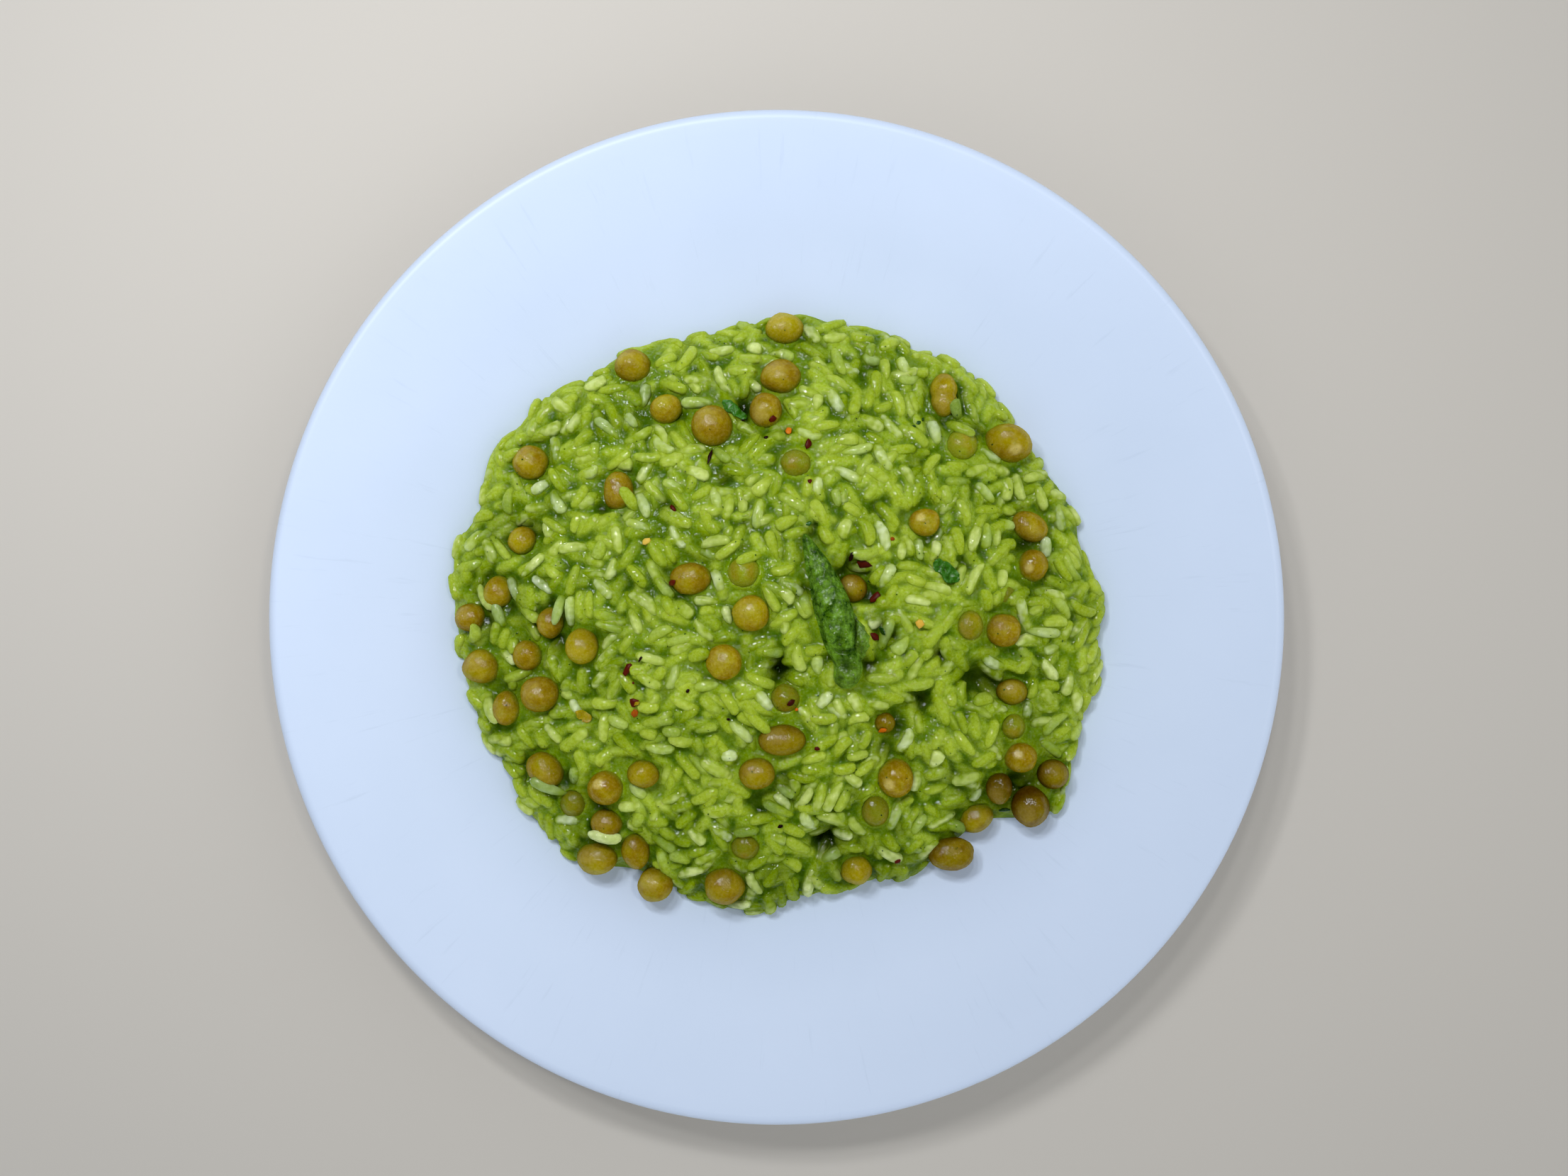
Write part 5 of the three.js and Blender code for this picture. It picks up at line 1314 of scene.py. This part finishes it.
def tipFinish():
    # steamed asparagus, mid green and wet: leafy skin that glows a little, blotched and beaded with sauce,
    #     # with painted shade in its dents
    material, tree, place = newMaterial("steamedAsparagus")
    blotches = ranged(tree, noise(tree, place, 380, 5, 0.7), 0.36, 0.66)
    pale = reckoned(tree, "MULTIPLY", attribute(tree, "pale"), 0.35)
    light = mixed(tree, pale, mixed(tree, blotches, "#183a00", "#729e28"), "#87a436")
    # painted shade in the dents and crease, a near black green
    colour = mixed(tree, attribute(tree, "shade"), light, "#0f2a02")
    # creases and beads about 1.1 mm apart
    skin = bumped(tree, noise(tree, place, 950, 2), 0.8, 0.8)
    finishWet(
        tree, pulpy(tree, place, colour, 1300, 0.15), drained(tree, 0.9), (skin, skin),
        (0.4, 1.4), (0.07, 1.44), (0.15, 0.8, 1.6, 0.2),
    )
    return material


def chilliFinish():
    # dried chilli, crushed: brittle skin with a dull gloss, from nearly black over red and orange to seeds
    material, tree, place = newMaterial("driedChilliFlake")
    shift = ranged(tree, noise(tree, place, 900, 2), 0, 1, -0.07, 0.07)
    colour = ramped(tree, reckoned(tree, "ADD", attribute(tree, "tone"), shift), [
        (0, "#0a0503"), (0.2, "#2a0a03"), (0.36, "#5c1504"), (0.66, "#d26a04"), (0.85, "#d99a25"),
        (1, "#deb94c"),
    ])
    finish(tree, {"Base Color": colour, "Roughness": 0.35, "IOR": 1.45, "Specular IOR Level": 0.12})
    return material


def herbFinish():
    # leaf scraps, wilted and wet: thin, dark to fresh green
    material, tree, place = newMaterial("wiltedHerbLeaf")
    colour = mixed(tree, attribute(tree, "tone"), "#173604", "#367609")
    # veins and creases about 0.9 mm apart
    skin = bumped(tree, noise(tree, place, 1100, 1), 0.6, 0.6)
    finishWet(
        tree, pulpy(tree, place, colour, 800, 0.5), 0.8, (skin, skin),
        (0.4, 1.4), (0.08, 1.4), (0.1, 0.6, 1.2, 0.2), 0.1,
    )
    return material


def floorFinish():
    # matt painted board, pale and plain
    material, tree, _ = newMaterial("paleMattBoard")
    finish(tree, {"Base Color": "#cfc8bd", "Roughness": 0.75})
    return material


makePlate(satinGlaze())
print("plate made")
makeSauce(sauceFinish())
print("sauce made")
raised = np.arange(len(grains["u"])) >= len(layers[0]["u"])
coatedRice = riceFinish("sauceCoatedRice", "#7e930e", "#a6b844", "#dce6a6", "#7c9408")
bareRice = riceFinish("bareBoiledRice", "#7d953e", "#a5ba70", "#dde6c4", "#7c9412")
makeGrains("riceCoated", raised & ~grains["bare"], coatedRice)
makeGrains("riceBare", raised & grains["bare"], bareRice)
print("rice made")
peaSkin = peaFinish()
makePeas(peaSkin)
print("peas made")
makeTip(tipFinish())
print("asparagus made")
layBits("chilliFlakes", bits["chilli"], chilliFinish(), True)
herbLeaf = herbFinish()
layBits("herbCrumbs", bits["herbs"] + throwSpecks(), herbLeaf, False)
layScraps("herbLeaves", bits["leaves"], herbLeaf)
layScraps("peaSkins", bits["skins"], peaSkin)
print("bits laid")

# Floor, camera and lights
studio = {
    "floorSize": 6, "cameraPlace": (1.97, 7.76, 333.3), "lens": 27.05, "sensor": 36,
    # place in metres, size, strength in watts, colour
    "lights": [
        ("windowPane1", (-0.21, 0.19, 0.43), 0.046, 0.44, "#f4f8ff"),
        ("windowPane2", (-0.11, 0.28, 0.44), 0.046, 0.44, "#f4f8ff"),
        ("windowPane3", (-0.02, 0.24, 0.46), 0.046, 0.38, "#f4f8ff"),
        ("windowPane4", (-0.24, 0.33, 0.5), 0.05, 0.5, "#f4f8ff"),
        ("shelfLamp", (0.3, 0.12, 0.8), 0.08, 0.8, "#fffaf0"),
    ],
    # the room is bright along its walls, more so towards the viewer's right, and dim overhead;
    # in the wet surfaces it shows only faintly
    "worldHex": "#e6edf6", "wallStrength": 0.95, "ceilingStrength": 0.12, "wallTop": 0.45,
    "ceilingEdge": 0.92, "brighterSide": (0.33, -0.4), "reflected": 0.015,
}


def makeStudio():
    half = studio["floorSize"] / 2
    mesh = bpy.data.meshes.new("floorBoard")
    corners = [(-half, -half, 0), (half, -half, 0), (half, half, 0), (-half, half, 0)]
    mesh.from_pydata(corners, [], [(0, 1, 2, 3)])
    mesh.materials.append(floorFinish())
    floor = bpy.data.objects.new("floorBoard", mesh)
    bpy.context.scene.collection.objects.link(floor)
    camera = bpy.data.objects.new("overheadCamera", bpy.data.cameras.new("overheadCamera"))
    camera.data.lens, camera.data.sensor_width = studio["lens"], studio["sensor"]
    camera.data.clip_start = 0.01
    camera.location = [value * mm for value in studio["cameraPlace"]]
    bpy.context.scene.collection.objects.link(camera)
    bpy.context.scene.camera = camera
    for name, place, size, power, hexColor in studio["lights"]:
        light = bpy.data.lights.new(name, "AREA")
        light.size, light.energy, light.color = size, power, linear(hexColor)[:3]
        lamp = bpy.data.objects.new(name, light)
        lamp.location = place
        lamp.visible_camera = False
        distance = math.hypot(place[0], place[1])
        lamp.rotation_euler = (math.atan2(distance, place[2]), 0, math.atan2(-place[0], place[1]) + pi)
        bpy.context.scene.collection.objects.link(lamp)
    world = bpy.data.worlds.new("paleRoom")
    world.use_nodes = True
    tree = world.node_tree
    background = tree.nodes["Background"]
    background.inputs["Color"].default_value = linear(studio["worldHex"])
    direction = addNode(tree, "ShaderNodeTexCoord").outputs["Generated"]
    height = addNode(tree, "ShaderNodeSeparateXYZ", {"Vector": direction}).outputs["Z"]
    heights = studio["wallTop"], studio["ceilingEdge"]
    glow = ranged(tree, height, *heights, studio["wallStrength"], studio["ceilingStrength"])
    aside = {0: direction, 1: (*studio["brighterSide"], 0)}
    side = addNode(tree, "ShaderNodeVectorMath", aside, operation="DOT_PRODUCT").outputs["Value"]
    mirrored = addNode(tree, "ShaderNodeLightPath").outputs["Is Glossy Ray"]
    share = ranged(tree, mirrored, 0, 1, 1, studio["reflected"])
    strength = reckoned(tree, "MULTIPLY", reckoned(tree, "ADD", glow, side), share)
    tree.links.new(strength, background.inputs["Strength"])
    bpy.context.scene.world = world
    bpy.context.scene.view_settings.view_transform = "Standard"


makeStudio()
print("studio made")
